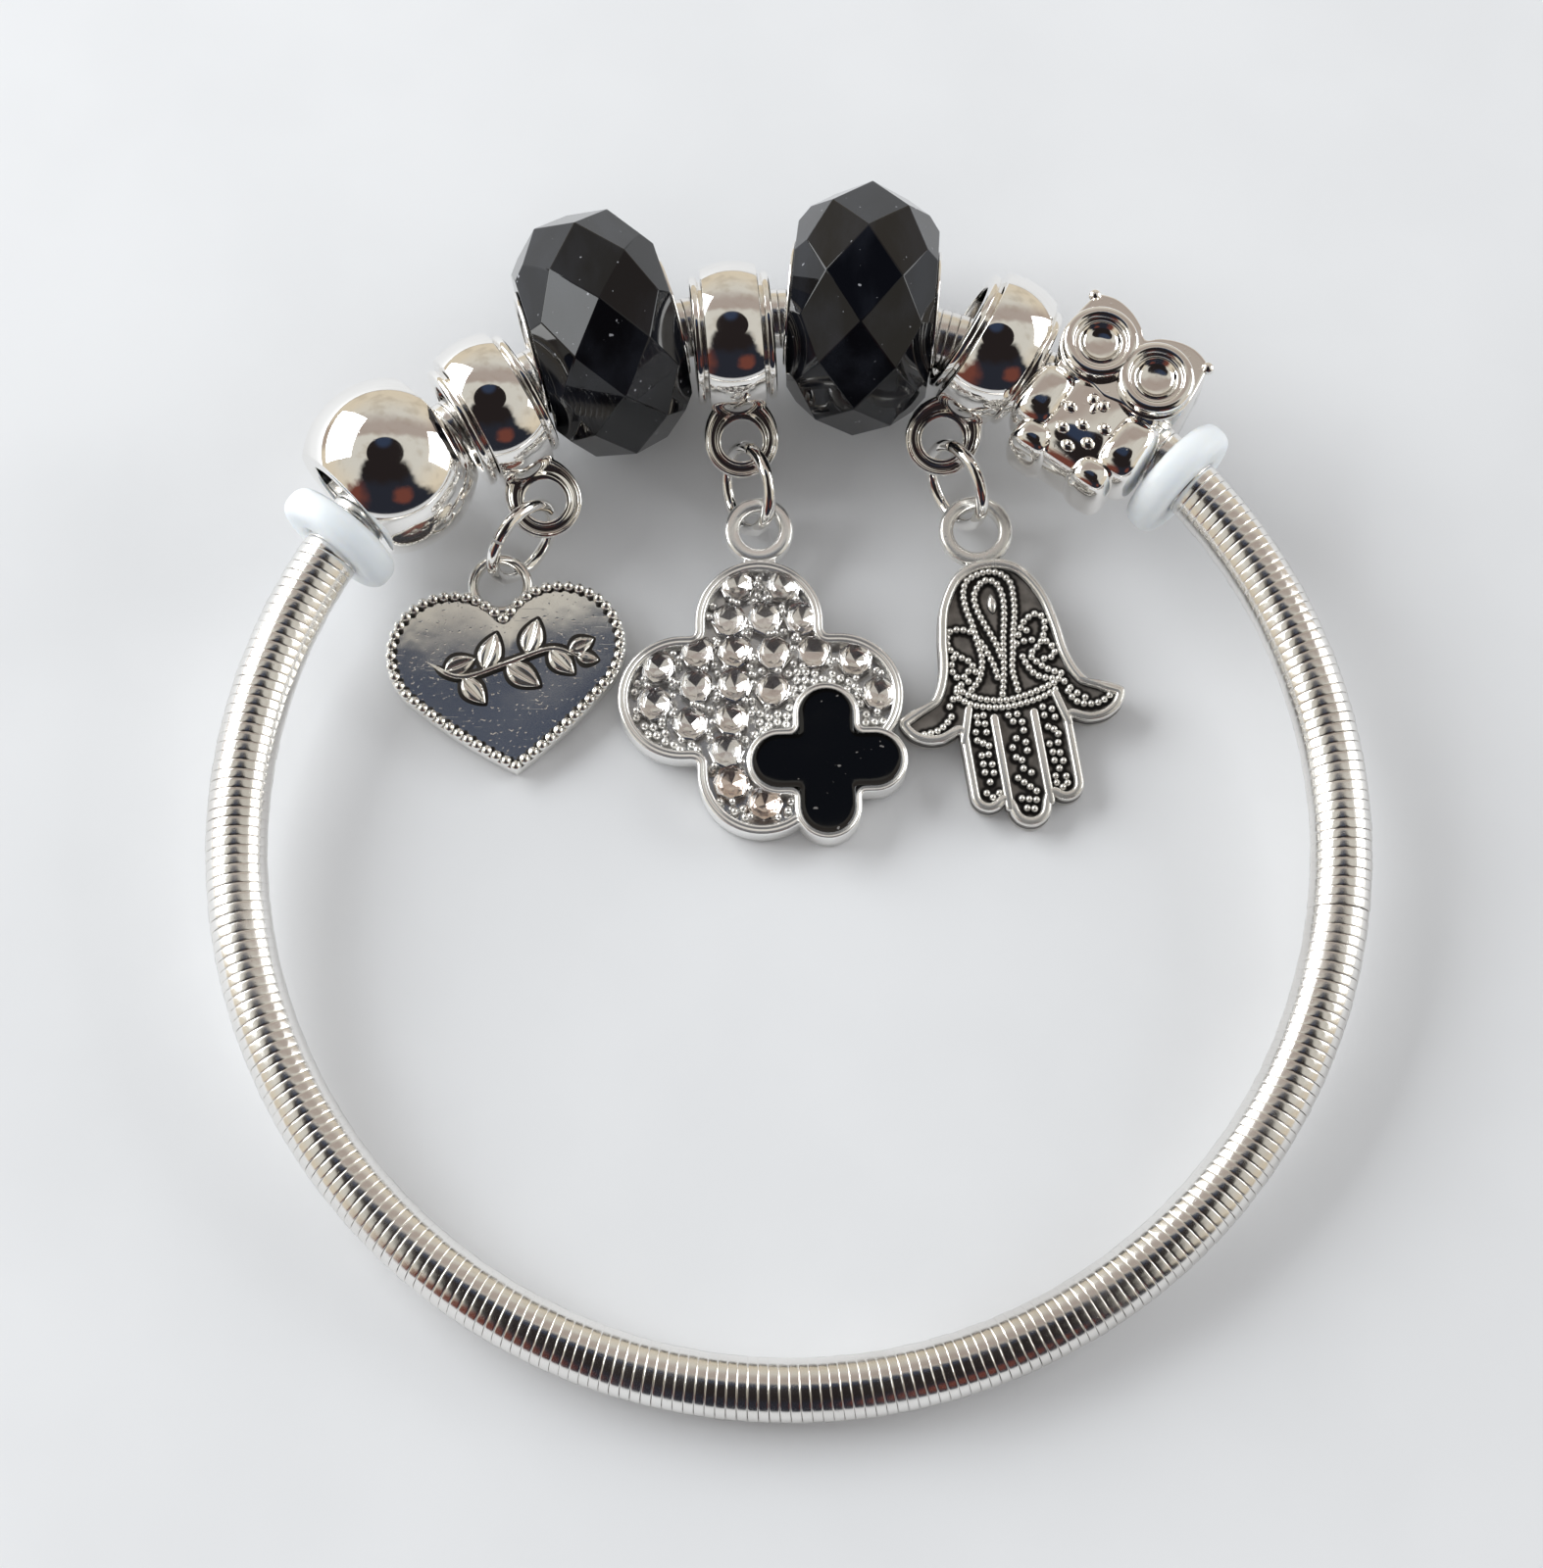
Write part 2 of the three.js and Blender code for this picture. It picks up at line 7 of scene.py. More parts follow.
import bpy
import numpy as np
from mathutils import Matrix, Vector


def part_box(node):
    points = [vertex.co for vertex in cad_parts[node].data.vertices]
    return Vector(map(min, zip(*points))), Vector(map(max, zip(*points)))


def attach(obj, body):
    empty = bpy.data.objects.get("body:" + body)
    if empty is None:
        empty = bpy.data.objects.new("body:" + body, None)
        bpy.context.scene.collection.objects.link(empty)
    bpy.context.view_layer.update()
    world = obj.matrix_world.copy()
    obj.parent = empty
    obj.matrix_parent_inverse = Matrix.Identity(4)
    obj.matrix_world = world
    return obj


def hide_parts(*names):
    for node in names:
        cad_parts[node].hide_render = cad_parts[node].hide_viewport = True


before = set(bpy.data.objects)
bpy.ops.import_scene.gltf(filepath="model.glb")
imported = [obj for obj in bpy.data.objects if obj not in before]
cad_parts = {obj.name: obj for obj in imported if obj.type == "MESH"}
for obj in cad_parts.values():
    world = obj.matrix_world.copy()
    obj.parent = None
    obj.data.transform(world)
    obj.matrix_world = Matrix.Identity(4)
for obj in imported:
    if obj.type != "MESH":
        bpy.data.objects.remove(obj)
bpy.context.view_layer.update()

MM = 0.001

# ------------------------------------------------------------------ table, room and camera
# The bangle lies on a plain pale table in a light room with a wide window on its left and
# a small one on its right. A figure in a dark coat leans over it.

camera = bpy.data.objects.new("camera", bpy.data.cameras.new("camera"))
camera.location = (-0.00095, -0.05795, 0.16264)
camera.rotation_euler = (radians(20), 0, 0)
camera.data.lens = 70
camera.data.sensor_width = 36
camera.data.clip_start = 0.01
bpy.context.scene.collection.objects.link(camera)
bpy.context.scene.camera = camera
bpy.context.scene.view_settings.view_transform = "Standard"


def add_node(tree, kind, inputs=None, **settings):
    """One shader node. Settings are its own fields; each input is a number, a colour or
    another node's output."""
    made = tree.nodes.new("ShaderNode" + kind)
    for field, value in settings.items():
        setattr(made, field, value)
    for socket, value in (inputs or {}).items():
        if isinstance(value, bpy.types.NodeSocket):
            tree.links.new(value, made.inputs[socket])
        else:
            made.inputs[socket].default_value = value
    return made


def graded(tree, value, low, high, start=0.0, end=1.0):
    """A value that runs smoothly from start to end while the given one runs low to high."""
    sockets = {"Value": value, "From Min": low, "From Max": high, "To Min": start, "To Max": end}
    return add_node(tree, "MapRange", sockets, interpolation_type="SMOOTHSTEP").outputs["Result"]


def blended(tree, share, first, second):
    """The first colour where the share is 0 and the second where it is 1. Sockets 6 and 7
    are the Mix node's two colours."""
    mix = add_node(tree, "Mix", data_type="RGBA")
    for socket, value in ((0, share), (6, first), (7, second)):
        if isinstance(value, bpy.types.NodeSocket):
            tree.links.new(value, mix.inputs[socket])
        else:
            mix.inputs[socket].default_value = value if socket == 0 else (*value, 1)
    return mix.outputs[2]


def worked_out(tree, operation, first, second=0.5):
    """One sum on two values."""
    return add_node(tree, "Math", {0: first, 1: second}, operation=operation).outputs[0]


def with_vectors(tree, operation, first, second, result="Vector"):
    """One sum on two vectors."""
    made = add_node(tree, "VectorMath", {0: first, 1: second}, operation=operation)
    return made.outputs[result]


def patch(tree, way, middle, size, blur):
    """A round mask about one direction, of the given size and softness of edge."""
    apart = with_vectors(tree, "DISTANCE", way, middle, "Value")
    return graded(tree, apart, size * (1 - blur), size * (1 + blur), 1.0, 0.0)


def paint_room():
    """The light from each direction. Metal mirrors warm walls, a greyer ceiling, a beam, and
    a dark figure in a coat and a cap that leans over the table with bare hands. Matt things
    are lit by the plain pale room, and straight behind the table it is plain too."""
    wall, ceiling, stain = (0.68, 0.6, 0.47), (0.62, 0.6, 0.545), (0.4, 0.34, 0.26)
    coat, hair, hands = (0.02, 0.022, 0.031), (0.018, 0.014, 0.014), (0.15, 0.048, 0.035)
    beam, cap = (0.31, 0.235, 0.205), (0.03, 0.043, 0.078)
    fill, backdrop = (0.47, 0.473, 0.48), (0.72, 0.72, 0.73)
    head_at, cap_at = (0.0, -0.15, 1.0), (-0.04, 0.14, 1.0)
    near_hand, far_hand = (-0.7, -0.62, 0.24), (0.34, -0.86, 0.38)
    world = bpy.data.worlds.new("room")
    world.use_nodes = True
    bpy.context.scene.world = world
    tree = world.node_tree
    straight = add_node(tree, "TexCoord").outputs["Generated"]
    noise = add_node(tree, "TexNoise", {"Vector": straight, "Scale": 4.0, "Detail": 2.0})
    shake = with_vectors(tree, "MULTIPLY", noise.outputs["Color"], (0.2, 0.2, 0.2))
    shaken = with_vectors(tree, "ADD", straight, shake)
    shaken = with_vectors(tree, "SUBTRACT", shaken, (0.1, 0.1, 0.1))
    axes = add_node(tree, "SeparateXYZ", {"Vector": shaken}).outputs
    room = blended(tree, graded(tree, axes["Z"], 0.1, 0.75), wall, ceiling)
    dirt = graded(tree, noise.outputs["Fac"], 0.46, 0.7, 0.0, 0.4)
    room = blended(tree, dirt, room, stain)
    overhead = worked_out(tree, "MULTIPLY", graded(tree, axes["Y"], 0.22, 0.34, 0.0, 0.7),
                          graded(tree, axes["Y"], 0.5, 0.75, 1.0, 0.0))
    room = blended(tree, overhead, room, beam)
    across = worked_out(tree, "ABSOLUTE", axes["X"])
    spread = worked_out(tree, "ADD", across, worked_out(tree, "MULTIPLY", axes["Z"], 0.45))
    sloped = worked_out(tree, "ADD", axes["Y"], worked_out(tree, "MULTIPLY", across, 0.15))
    body = worked_out(tree, "MULTIPLY", graded(tree, spread, 0.8, 0.92, 1.0, 0.0),
                      graded(tree, sloped, -0.3, -0.16, 1.0, 0.0))
    narrowed = with_vectors(tree, "MULTIPLY", straight, (0.85, 1.0, 1.0))
    head = patch(tree, narrowed, head_at, size=0.355, blur=0.015)
    figure = worked_out(tree, "MAXIMUM", body, head)
    clothes = blended(tree, graded(tree, axes["Z"], 0.55, 0.75), coat, hair)
    clothes = blended(tree, patch(tree, straight, cap_at, size=0.17, blur=0.4), clothes, cap)
    bare = worked_out(tree, "MAXIMUM", patch(tree, shaken, near_hand, size=0.36, blur=0.4),
                      patch(tree, shaken, far_hand, size=0.19, blur=0.4))
    seen = blended(tree, figure, room, blended(tree, bare, clothes, hands))
    ray = add_node(tree, "LightPath").outputs
    shown = blended(tree, ray["Is Diffuse Ray"], seen, fill)
    shown = blended(tree, ray["Is Camera Ray"], shown, backdrop)
    tree.links.new(shown, tree.nodes["Background"].inputs["Color"])


def hang_window(name, towards, distance, width, height, glow):
    """A soft rectangular light that faces the middle of the table; glow is its brightness."""
    window = bpy.data.lights.new(name, "AREA")
    window.shape = "RECTANGLE"
    window.size, window.size_y = width, height
    window.energy = glow * pi * width * height
    window.color = (0.94, 0.975, 1.0)
    hung = bpy.data.objects.new(name, window)
    way = np.array(towards) / np.linalg.norm(towards)
    hung.location = way * distance
    hung.rotation_euler = hung.location.to_track_quat("Z", "Y").to_euler()
    bpy.context.scene.collection.objects.link(hung)


paint_room()
hang_window("window_left", (-0.78, 0.36, 0.46), distance=0.55, width=0.5, height=0.4, glow=5.2)
hang_window("window_right", (0.93, 0.22, 0.33), distance=0.6, width=0.4, height=0.34, glow=3.6)


def new_finish(name, **numbers):
    """A material with one Principled shader; numbers that are the same all over go straight
    on the shader's own sockets, named here with _ for a space."""
    finish = bpy.data.materials.new(name)
    finish.use_nodes = True
    shader = finish.node_tree.nodes["Principled BSDF"]
    for socket, value in numbers.items():
        shader.inputs[socket.replace("_", " ")].default_value = value
    return finish, finish.node_tree


def fitted(finish, colour, rough=None, height=None, depth=0.0):
    """The finish with all that varies over it: its colour, how rough it is, and a height
    for marks whose depth is in millimetres."""
    tree = finish.node_tree
    sockets = tree.nodes["Principled BSDF"].inputs
    tree.links.new(colour, sockets["Base Color"])
    if rough is not None:
        tree.links.new(rough, sockets["Roughness"])
    if height is not None:
        bump = add_node(tree, "Bump", {"Height": height, "Distance": depth * MM, "Strength": 1.0})
        tree.links.new(bump.outputs["Normal"], sockets["Normal"])
    return finish


def grained(tree, scale, detail=3.0, stretch=None, turn=(0, 0, 0)):
    """Cloudy noise on the piece's own coordinates, drawn out along an axis if asked."""
    place = add_node(tree, "TexCoord").outputs["Object"]
    if stretch:
        place = add_node(tree, "Mapping", {"Vector": place, "Rotation": turn, "Scale": stretch})
        place = place.outputs["Vector"]
    cloud = add_node(tree, "TexNoise", {"Vector": place, "Scale": scale, "Detail": detail})
    return cloud.outputs["Fac"]


def lay_table():
    """A flat pale square, wide enough to run past every view."""
    reach = 1.6
    corners = [(-reach, -reach, 0), (reach, -reach, 0), (reach, reach, 0), (-reach, reach, 0)]
    mesh = bpy.data.meshes.new("table")
    mesh.from_pydata(corners, [], [(0, 1, 2, 3)])
    finish, tree = new_finish("pale_table", Roughness=0.85)
    shade = graded(tree, grained(tree, 60.0), 0.3, 0.7)
    tone = blended(tree, shade, (0.78, 0.78, 0.785), (0.81, 0.81, 0.815))
    mesh.materials.append(fitted(finish, tone))
    table = bpy.data.objects.new("table", mesh)
    bpy.context.scene.collection.objects.link(table)


lay_table()

# ------------------------------------------------------------------ wound band
# A springy wire is wound tight, turn against turn, round a straight core wire, and the
# two are bent together into a circle whose ends butt. Bright plated steel throughout.

band_radius = 30.3  # from the wrist's middle to the coil's middle line
band_tilt = 5  # the fat beads hold their side of the band up
coil_radius, coil_turns = 1.7, 354
butt_station, butt_gap = 99, 0.04  # where the ends meet, and how near they come


def turned(axis, degrees):
    """A turn about one axis, as a 3 by 3 array."""
    return np.array(Matrix.Rotation(radians(degrees), 3, axis))


coil_low, coil_high = (np.array(corner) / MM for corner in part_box("coil_band"))
band_middle = (coil_low + coil_high) / 2
band_lift = coil_radius + band_radius * np.sin(radians(band_tilt))
laid = band_middle - (0, 0, band_lift)  # from the wrist's middle on the table


def threaded(shells, station, turn, out, lift=0, pitch=0, roll=0):
    """Surfaces drawn with X along the band, Y outwards and Z up, set on the band at a
    station: an angle along it, clockwise from the top as seen from above."""
    angle, reach = radians(station), band_radius + out
    spot = np.array([reach * np.sin(angle), reach * np.cos(angle), lift])
    way = turned("Z", -station - turn) @ turned("Y", pitch) @ turned("X", roll)
    tilt = turned("X", band_tilt)
    return [(points @ (tilt @ way).T + tilt @ spot + band_middle, faces)
            for points, faces in shells]


def outwards(points, faces):
    """The faces turned so that the closed surface's volume comes out positive."""
    volume = 0
    for group in faces:
        first = points[group[:, 0]]
        for i in range(1, group.shape[1] - 1):
            second, third = points[group[:, i]], points[group[:, i + 1]]
            volume += (first * np.cross(second, third)).sum()
    return faces if volume > 0 else [group[:, ::-1] for group in faces]


def skin(rings, looped=False):
    """A closed surface over rows of rings, as points and faces. Neighbouring points are
    joined by four-cornered faces. Looped rows join end to end, and otherwise the first
    and last rings close on their own middles."""
    rows, around = rings.shape[:2]
    row = np.arange(rows if looped else rows - 1)[:, None]
    step = np.arange(around)
    beside = (step + 1) % around
    here, after = row * around, (row + 1) % rows * around
    quads = np.stack([here + step, here + beside, after + beside, after + step], -1)
    points, faces = rings.reshape(-1, 3), [quads.reshape(-1, 4)]
    if not looped:
        last = (rows - 1) * around
        middle = np.full(around, len(points))
        points = np.vstack([points, rings[0].mean(0), rings[-1].mean(0)])
        faces.append(np.vstack([np.stack([middle, beside, step], -1),
                                np.stack([middle + 1, last + step, last + beside], -1)]))
    return points, outwards(points, faces)


def make_piece(name, shells, finish, node, sharp=50, relief=None):
    """A Blender object from one or more closed surfaces in millimetres. It rides on the
    bangle, stands for its CAD node, hides that node's part, and takes the finish it is given."""
    points, faces, start = [], [], 0
    for shell_points, shell_faces in shells:
        points.append(shell_points)
        for group in shell_faces:
            faces += (group + start).tolist()
        start += len(shell_points)
    mesh = bpy.data.meshes.new(name)
    mesh.from_pydata((np.vstack(points) * MM).tolist(), [], faces)
    mesh.shade_smooth()
    mesh.set_sharp_from_angle(angle=radians(sharp))
    if relief is not None:
        marks = mesh.attributes.new("relief", "FLOAT", "POINT")
        marks.data.foreach_set("value", np.concatenate(relief).astype(np.float32))
    mesh.materials.append(finish)
    piece = bpy.data.objects.new(name, mesh)
    bpy.context.scene.collection.objects.link(piece)
    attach(piece, "root")
    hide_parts(node)
    return piece


def wound_coil():
    """The wire's middle runs round the band's own circle as it goes along it, and a small
    section, flattened by winding and rounded at its corners, is carried along that line.
    Its turns crowd and spread a little, and their distance from the middle wavers."""
    half_wire, half_flat, per_turn = 0.12, 0.268, 19
    upper = [(1, 0.35), (0.985, 0.65), (0.95, 0.85), (0.86, 0.96), (0.68, 1), (-0.6, 1)]
    section = upper + [(-1, 0)] + [(height, -across) for height, across in upper[::-1]]
    height, across = np.array(section).T
    share = np.linspace(0, 1, coil_turns * per_turn + 1)[:, None]
    gap = butt_gap / band_radius
    along = radians(butt_station) + gap / 2 + (2 * pi - gap) * share
    crowding = 0.35 * np.sin(20 * pi * share) + 0.2 * np.sin(56 * pi * share)
    wound = 2 * pi * coil_turns * share + crowding
    out = coil_radius - half_wire + half_wire * height + 0.01 * np.sin(97 * along)
    ahead = half_flat * across
    reach = band_radius + out * np.cos(wound)
    x = reach * np.sin(along) + ahead * np.cos(along)
    y = reach * np.cos(along) - ahead * np.sin(along)
    points, faces = skin(np.stack([x, y, out * np.sin(wound)], -1))
    return points @ turned("X", band_tilt).T + band_middle, faces


def scratch_group():
    """Handling marks for bright metal: fine crossing scratches, soft smears and pin marks,
    as a Height for bump, a Smear value for roughness and a Dull value for colour."""
    group = bpy.data.node_groups.new("handling_marks", "ShaderNodeTree")
    for name, way in (("Size", "INPUT"), ("Dents", "INPUT"), ("Height", "OUTPUT"),
                      ("Smear", "OUTPUT"), ("Dull", "OUTPUT")):
        group.interface.new_socket(name, in_out=way, socket_type="NodeSocketFloat")
    given = group.nodes.new("NodeGroupInput").outputs
    size, dents = given["Size"], given["Dents"]
    lines = [graded(group, grained(group, size, 2.0, draw, (0, 0, angle)), 0.66, 0.74)
             for angle, draw in ((0.5, (1.0, 0.05, 1.0)), (-0.9, (0.06, 1.0, 1.0)))]
    crossing = worked_out(group, "ADD", *lines)
    pins = grained(group, worked_out(group, "MULTIPLY", size, 0.45), 1.0)
    pits = worked_out(group, "MULTIPLY", graded(group, pins, 0.66, 0.78), dents)
    waves = worked_out(group, "MULTIPLY", grained(group, 500.0, 2.0), dents)
    sunk = worked_out(group, "ADD", worked_out(group, "MULTIPLY", crossing, 0.12), pits)
    smear = worked_out(group, "ADD", graded(group, grained(group, 220.0, 4.0), 0.35, 0.75),
                       worked_out(group, "MULTIPLY", crossing, 0.15))
    end = group.nodes.new("NodeGroupOutput").inputs
    group.links.new(worked_out(group, "SUBTRACT", waves, sunk), end["Height"])
    group.links.new(smear, end["Smear"])
    group.links.new(graded(group, grained(group, 90.0, 3.0), 0.4, 0.75), end["Dull"])
    return group


handling_marks = scratch_group()


def handled(tree, size, dents):
    """The handling marks at one fineness, with dents of the given strength."""
    sockets = {"Size": size, "Dents": dents}
    return add_node(tree, "Group", sockets, node_tree=handling_marks).outputs


def marked_metal(name, bright, dull, gloss, smeared, depth, size=9000.0, dents=0.5, metal=1.0):
    """Bright metal with handling marks: the colour dulls and the gloss smears in patches,
    and depth in millimetres is how deep the marks are."""
    finish, tree = new_finish(name, Metallic=metal)
    marks = handled(tree, size, dents)
    rough = graded(tree, marks["Smear"], 0.0, 1.4, gloss, smeared)
    return fitted(finish, blended(tree, marks["Dull"], bright, dull), rough, marks["Height"], depth)


plated_wire = marked_metal(
    "plated_wire", (0.93, 0.915, 0.89), (0.8, 0.775, 0.745),
    gloss=0.17, smeared=0.3, depth=0.004, size=14000.0)
make_piece("wound_coil", [wound_coil()], plated_wire, "coil_band")

core_steel = marked_metal(
    "core_steel", (0.5, 0.5, 0.5), (0.38, 0.37, 0.36),
    gloss=0.3, smeared=0.5, depth=0.004, size=8000.0)
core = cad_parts["core_wire"]
core.data.materials.clear()
core.data.materials.append(core_steel)

# ------------------------------------------------------------------ rubber stoppers
# Two moulded rings of milky silicone, stretched over the coil so that they grip it and
# keep the beads in their row. Rounded all over, with a faint frosted skin.

stopper_radius, stopper_half, stopper_bore = 3.6, 0.95, 1.72


def softened(corners, reach, steps=6):
    """A closed outline whose corners are replaced by curves: each starts and ends at the
    given reach from the corner, or half way along a shorter side."""
    corners = np.asarray(corners, float)
    reach = np.broadcast_to(reach, len(corners))[:, None]
    before, after = np.roll(corners, 1, 0) - corners, np.roll(corners, -1, 0) - corners
    back, on = (np.linalg.norm(way, axis=1)[:, None] for way in (before, after))
    start = corners + before / back * np.minimum(reach, back * 0.49)
    end = corners + after / on * np.minimum(reach, on * 0.49)
    t = np.linspace(0, 1, steps)[None, :, None]
    curve = (1 - t) ** 2 * start[:, None] + 2 * t * (1 - t) * corners[:, None] + t**2 * end[:, None]
    return curve.reshape(-1, 2)


def full_turn(count):
    """Even angles once round."""
    return np.linspace(0, 2 * pi, count, endpoint=False)


def round_ring(out, up, angle):
    """Points round the upright, given how far out and how high they lie."""
    return np.stack([out * np.cos(angle), out * np.sin(angle), up + 0 * angle], -1)


def spun(profile, sides=96):
    """A closed profile of (out, along) pairs spun once round the band's direction."""
    out, along = np.asarray(profile, float).T[:, :, None]
    return skin(round_ring(out, along, full_turn(sides))[..., ::-1], looped=True)


def milky_silicone():
    """Pale bluish rubber that light soaks into, with a slightly uneven frosted skin."""
    finish, tree = new_finish(
        "milky_silicone", Subsurface_Weight=0.75, Subsurface_Scale=0.0016,
        Subsurface_Radius=(0.9, 1.0, 1.2), IOR=1.41)
    tone = blended(tree, graded(tree, grained(tree, 300.0), 0.35, 0.65),
                   (0.79, 0.835, 0.88), (0.84, 0.88, 0.915))
    frost = grained(tree, 3500.0, 2.0)
    return fitted(finish, tone, graded(tree, frost, 0.3, 0.7, 0.34, 0.5), frost, 0.008)


stopper_profile = softened(
    [(stopper_bore, -stopper_half), (stopper_radius, -stopper_half),
     (stopper_radius, stopper_half), (stopper_bore, stopper_half)], [0.3, 0.9, 0.9, 0.3], 12)
silicone = milky_silicone()
for side, station, turn, out in (("left", -56.2, 4, 0.15), ("right", 47, -2, -0.15)):
    ring = threaded([spun(stopper_profile)], station, turn, out)
    make_piece(f"rubber_stopper_{side}", ring, silicone, f"stopper_{side}")

# ------------------------------------------------------------------ hollow ball bead
# A hollow ball of plated metal, pierced right through and turned in at both holes. It is
# polished like a mirror and picks up only fine scratches.

ball_radius, ball_half, ball_bore = 5.0, 3.35, 2.7
ball_station, ball_turn, ball_out = -46.7, 2, 0.7


def pierced_ball(radius, half, bore):
    """The profile of a ball cut square at both ends, each cut turned in to the bore."""
    along = np.linspace(-half, half, 48)
    dome = np.stack([np.sqrt(radius**2 - along**2), along], -1)
    return softened(np.vstack([dome, [(bore, half), (bore, -half)]]), 0.25, 5)


mirror_silver = marked_metal(
    "mirror_silver", (0.95, 0.935, 0.91), (0.88, 0.865, 0.84),
    gloss=0.03, smeared=0.1, depth=0.0012)
ball = spun(pierced_ball(ball_radius, ball_half, ball_bore))
make_piece("mirror_ball", threaded([ball], ball_station, ball_turn, ball_out),
           mirror_silver, "ball_bead")

# ------------------------------------------------------------------ bail beads
# Three small cast balls with a rolled rim round each hole. A flat eye grows out of the
# wrist side of each, with a raised edge, a groove, and a lip round its hole.

bail_radius, bail_half, bail_bore = 4.4, 2.3, 2.75
eye_reach, eye_outer, eye_hole = 5.9, 2.15, 1.2
bail_roll = 20  # the eyes lean down towards the table


def bail_profile():
    """Half a turn of ball, a groove on each side of it, and a rolled rim at each end."""
    along = np.linspace(-1.62, 1.62, 30)
    dome = np.stack([np.sqrt(bail_radius**2 - along**2), along], -1)
    right = [(3.3, 1.68), (3.35, 1.78), (3.66, 1.84), (3.66, 2.24), (3.4, bail_half),
             (bail_bore, bail_half)]
    left = [(out, -at) for out, at in reversed(right)]
    return softened(np.vstack([dome, right, left]), 0.14, 4)


def cast_eye():
    """A grooved section carried once round the hole. Its edge is a circle that swells
    towards the ball, so that the eye runs up into it."""
    angle = full_turn(96)
    edge = eye_outer + 0.5 * np.maximum(np.cos(angle), 0) ** 2
    corners = [(0, -0.4), (0, 0.4), (0.14, 0.44), (0.25, 0.4), (0.32, 0.2), (0.62, 0.16),
               (0.72, 0.36), (0.82, 0.45), (0.94, 0.4), (1, 0.25), (1, -0.45)]
    share, height = softened(corners, 0.05, 4).T[:, :, None]
    rings = round_ring(eye_hole + share * (edge - eye_hole), height, angle)
    return skin(rings[..., [1, 0, 2]] - (0, eye_reach, 0), looped=True)


for charm, station, turn, out, lift, pitch in (
        ("heart", -34.2, 3, -0.35, -0.3, 0), ("clover", -6.2, 1, -0.9, -0.3, 0),
        ("hamsa", 22.7, 5, 0.5, -0.1, 15)):
    shells = [spun(bail_profile()), cast_eye()]
    shells = threaded(shells, station, turn, out, lift, pitch, bail_roll)
    make_piece(f"bail_{charm}", shells, mirror_silver, f"bail_bead_{charm}")

# ------------------------------------------------------------------ facetted glass beads
# Two big beads of black glass, moulded and then ground flat: eight rhombs round the belt,
# eight more on each shoulder, and five-sided facets down to the ends.

facet_count, belt_radius, glass_half = 8, 7.3, 4.05
shoulder_at, crown_at, glass_bore = 2.15, 3.4, 3.6


def facetted_glass():
    """Corners of the facets on rings about the band's direction; each ring's radius comes
    from the flat facets that meet there."""
    pitch = 2 * pi / facet_count
    half = np.cos(pitch / 2)
    shoulder = belt_radius * half
    crown = belt_radius - (belt_radius - shoulder * half) / shoulder_at * crown_at
    slope = (shoulder - crown * half) / (crown_at - shoulder_at)
    end = (shoulder - slope * (glass_half - shoulder_at)) / half
    per_facet = 6
    bore_count = facet_count * per_facet
    rings = [round_ring(out, side * along, 2 * pi * np.arange(count) / count + shift)[..., ::-1]
             for side in (-1, 1) for out, along, count, shift in (
                 (shoulder, shoulder_at, facet_count, pitch / 2), (crown, crown_at, facet_count, 0),
                 (end, glass_half, facet_count, 0), (glass_bore, glass_half, bore_count, 0))]
    rings.append(round_ring(belt_radius, 0, pitch * np.arange(facet_count))[..., ::-1])
    *starts, belt = np.cumsum([0] + [len(ring) for ring in rings[:-1]]).tolist()
    left, right = starts[:4], starts[4:]
    facets = []
    for i in range(facet_count):
        j, before = (i + 1) % facet_count, (i - 1) % facet_count
        facets.append([belt + i, right[0] + i, belt + j, left[0] + i])
        for side, (top, crest, rim, bore) in ((-1, left), (1, right)):
            sector = [
                [belt + i, top + before, crest + i, top + i],
                [top + i, crest + i, rim + i, rim + j, crest + j],
                [rim + j, rim + i] + [bore + (per_facet * i + k) % bore_count
                                      for k in range(per_facet + 1)]]
            facets += [face if side > 0 else face[::-1] for face in sector]
        for k in range(per_facet * i, per_facet * (i + 1)):
            m = (k + 1) % bore_count
            facets.append([left[3] + k, left[3] + m, right[3] + m, right[3] + k])
    points = np.vstack(rings)
    return points, outwards(points, [np.array([face]) for face in facets])


def black_glass_finish():
    """Dense black glass: a clean hard gloss, faint swirls of grinding, and pin scratches."""
    finish, tree = new_finish("black_glass", IOR=1.43)
    haze = graded(tree, grained(tree, 420.0, 4.0, (1.0, 0.35, 1.0), (0.3, 0.4, 0.8)), 0.4, 0.7)
    tone = blended(tree, haze, (0.003, 0.003, 0.004), (0.011, 0.012, 0.016))
    pins = graded(tree, grained(tree, 2400.0, 1.0), 0.75, 0.8)
    marks = handled(tree, 7000.0, 0.25)
    return fitted(finish, blended(tree, pins, tone, (0.3, 0.3, 0.32)),
                  graded(tree, marks["Smear"], 0.1, 1.5, 0.015, 0.1), marks["Height"], 0.0009)


def silver_sleeve():
    """A thin tube through the glass with a rounded flange turned over each end."""
    right = [(3.32, 3.9), (3.62, 4.1), (3.58, 4.3), (3.1, 4.3)]
    left = [(out, -at) for out, at in reversed(right)]
    return spun(softened(right + left, 0.12, 5))


def ground_edges(piece):
    """The narrow ground edge between facets that catches the light."""
    edge = piece.modifiers.new("ground_edges", "BEVEL")
    edge.width, edge.segments = 0.05 * MM, 2
    edge.limit_method, edge.angle_limit = "ANGLE", radians(8)


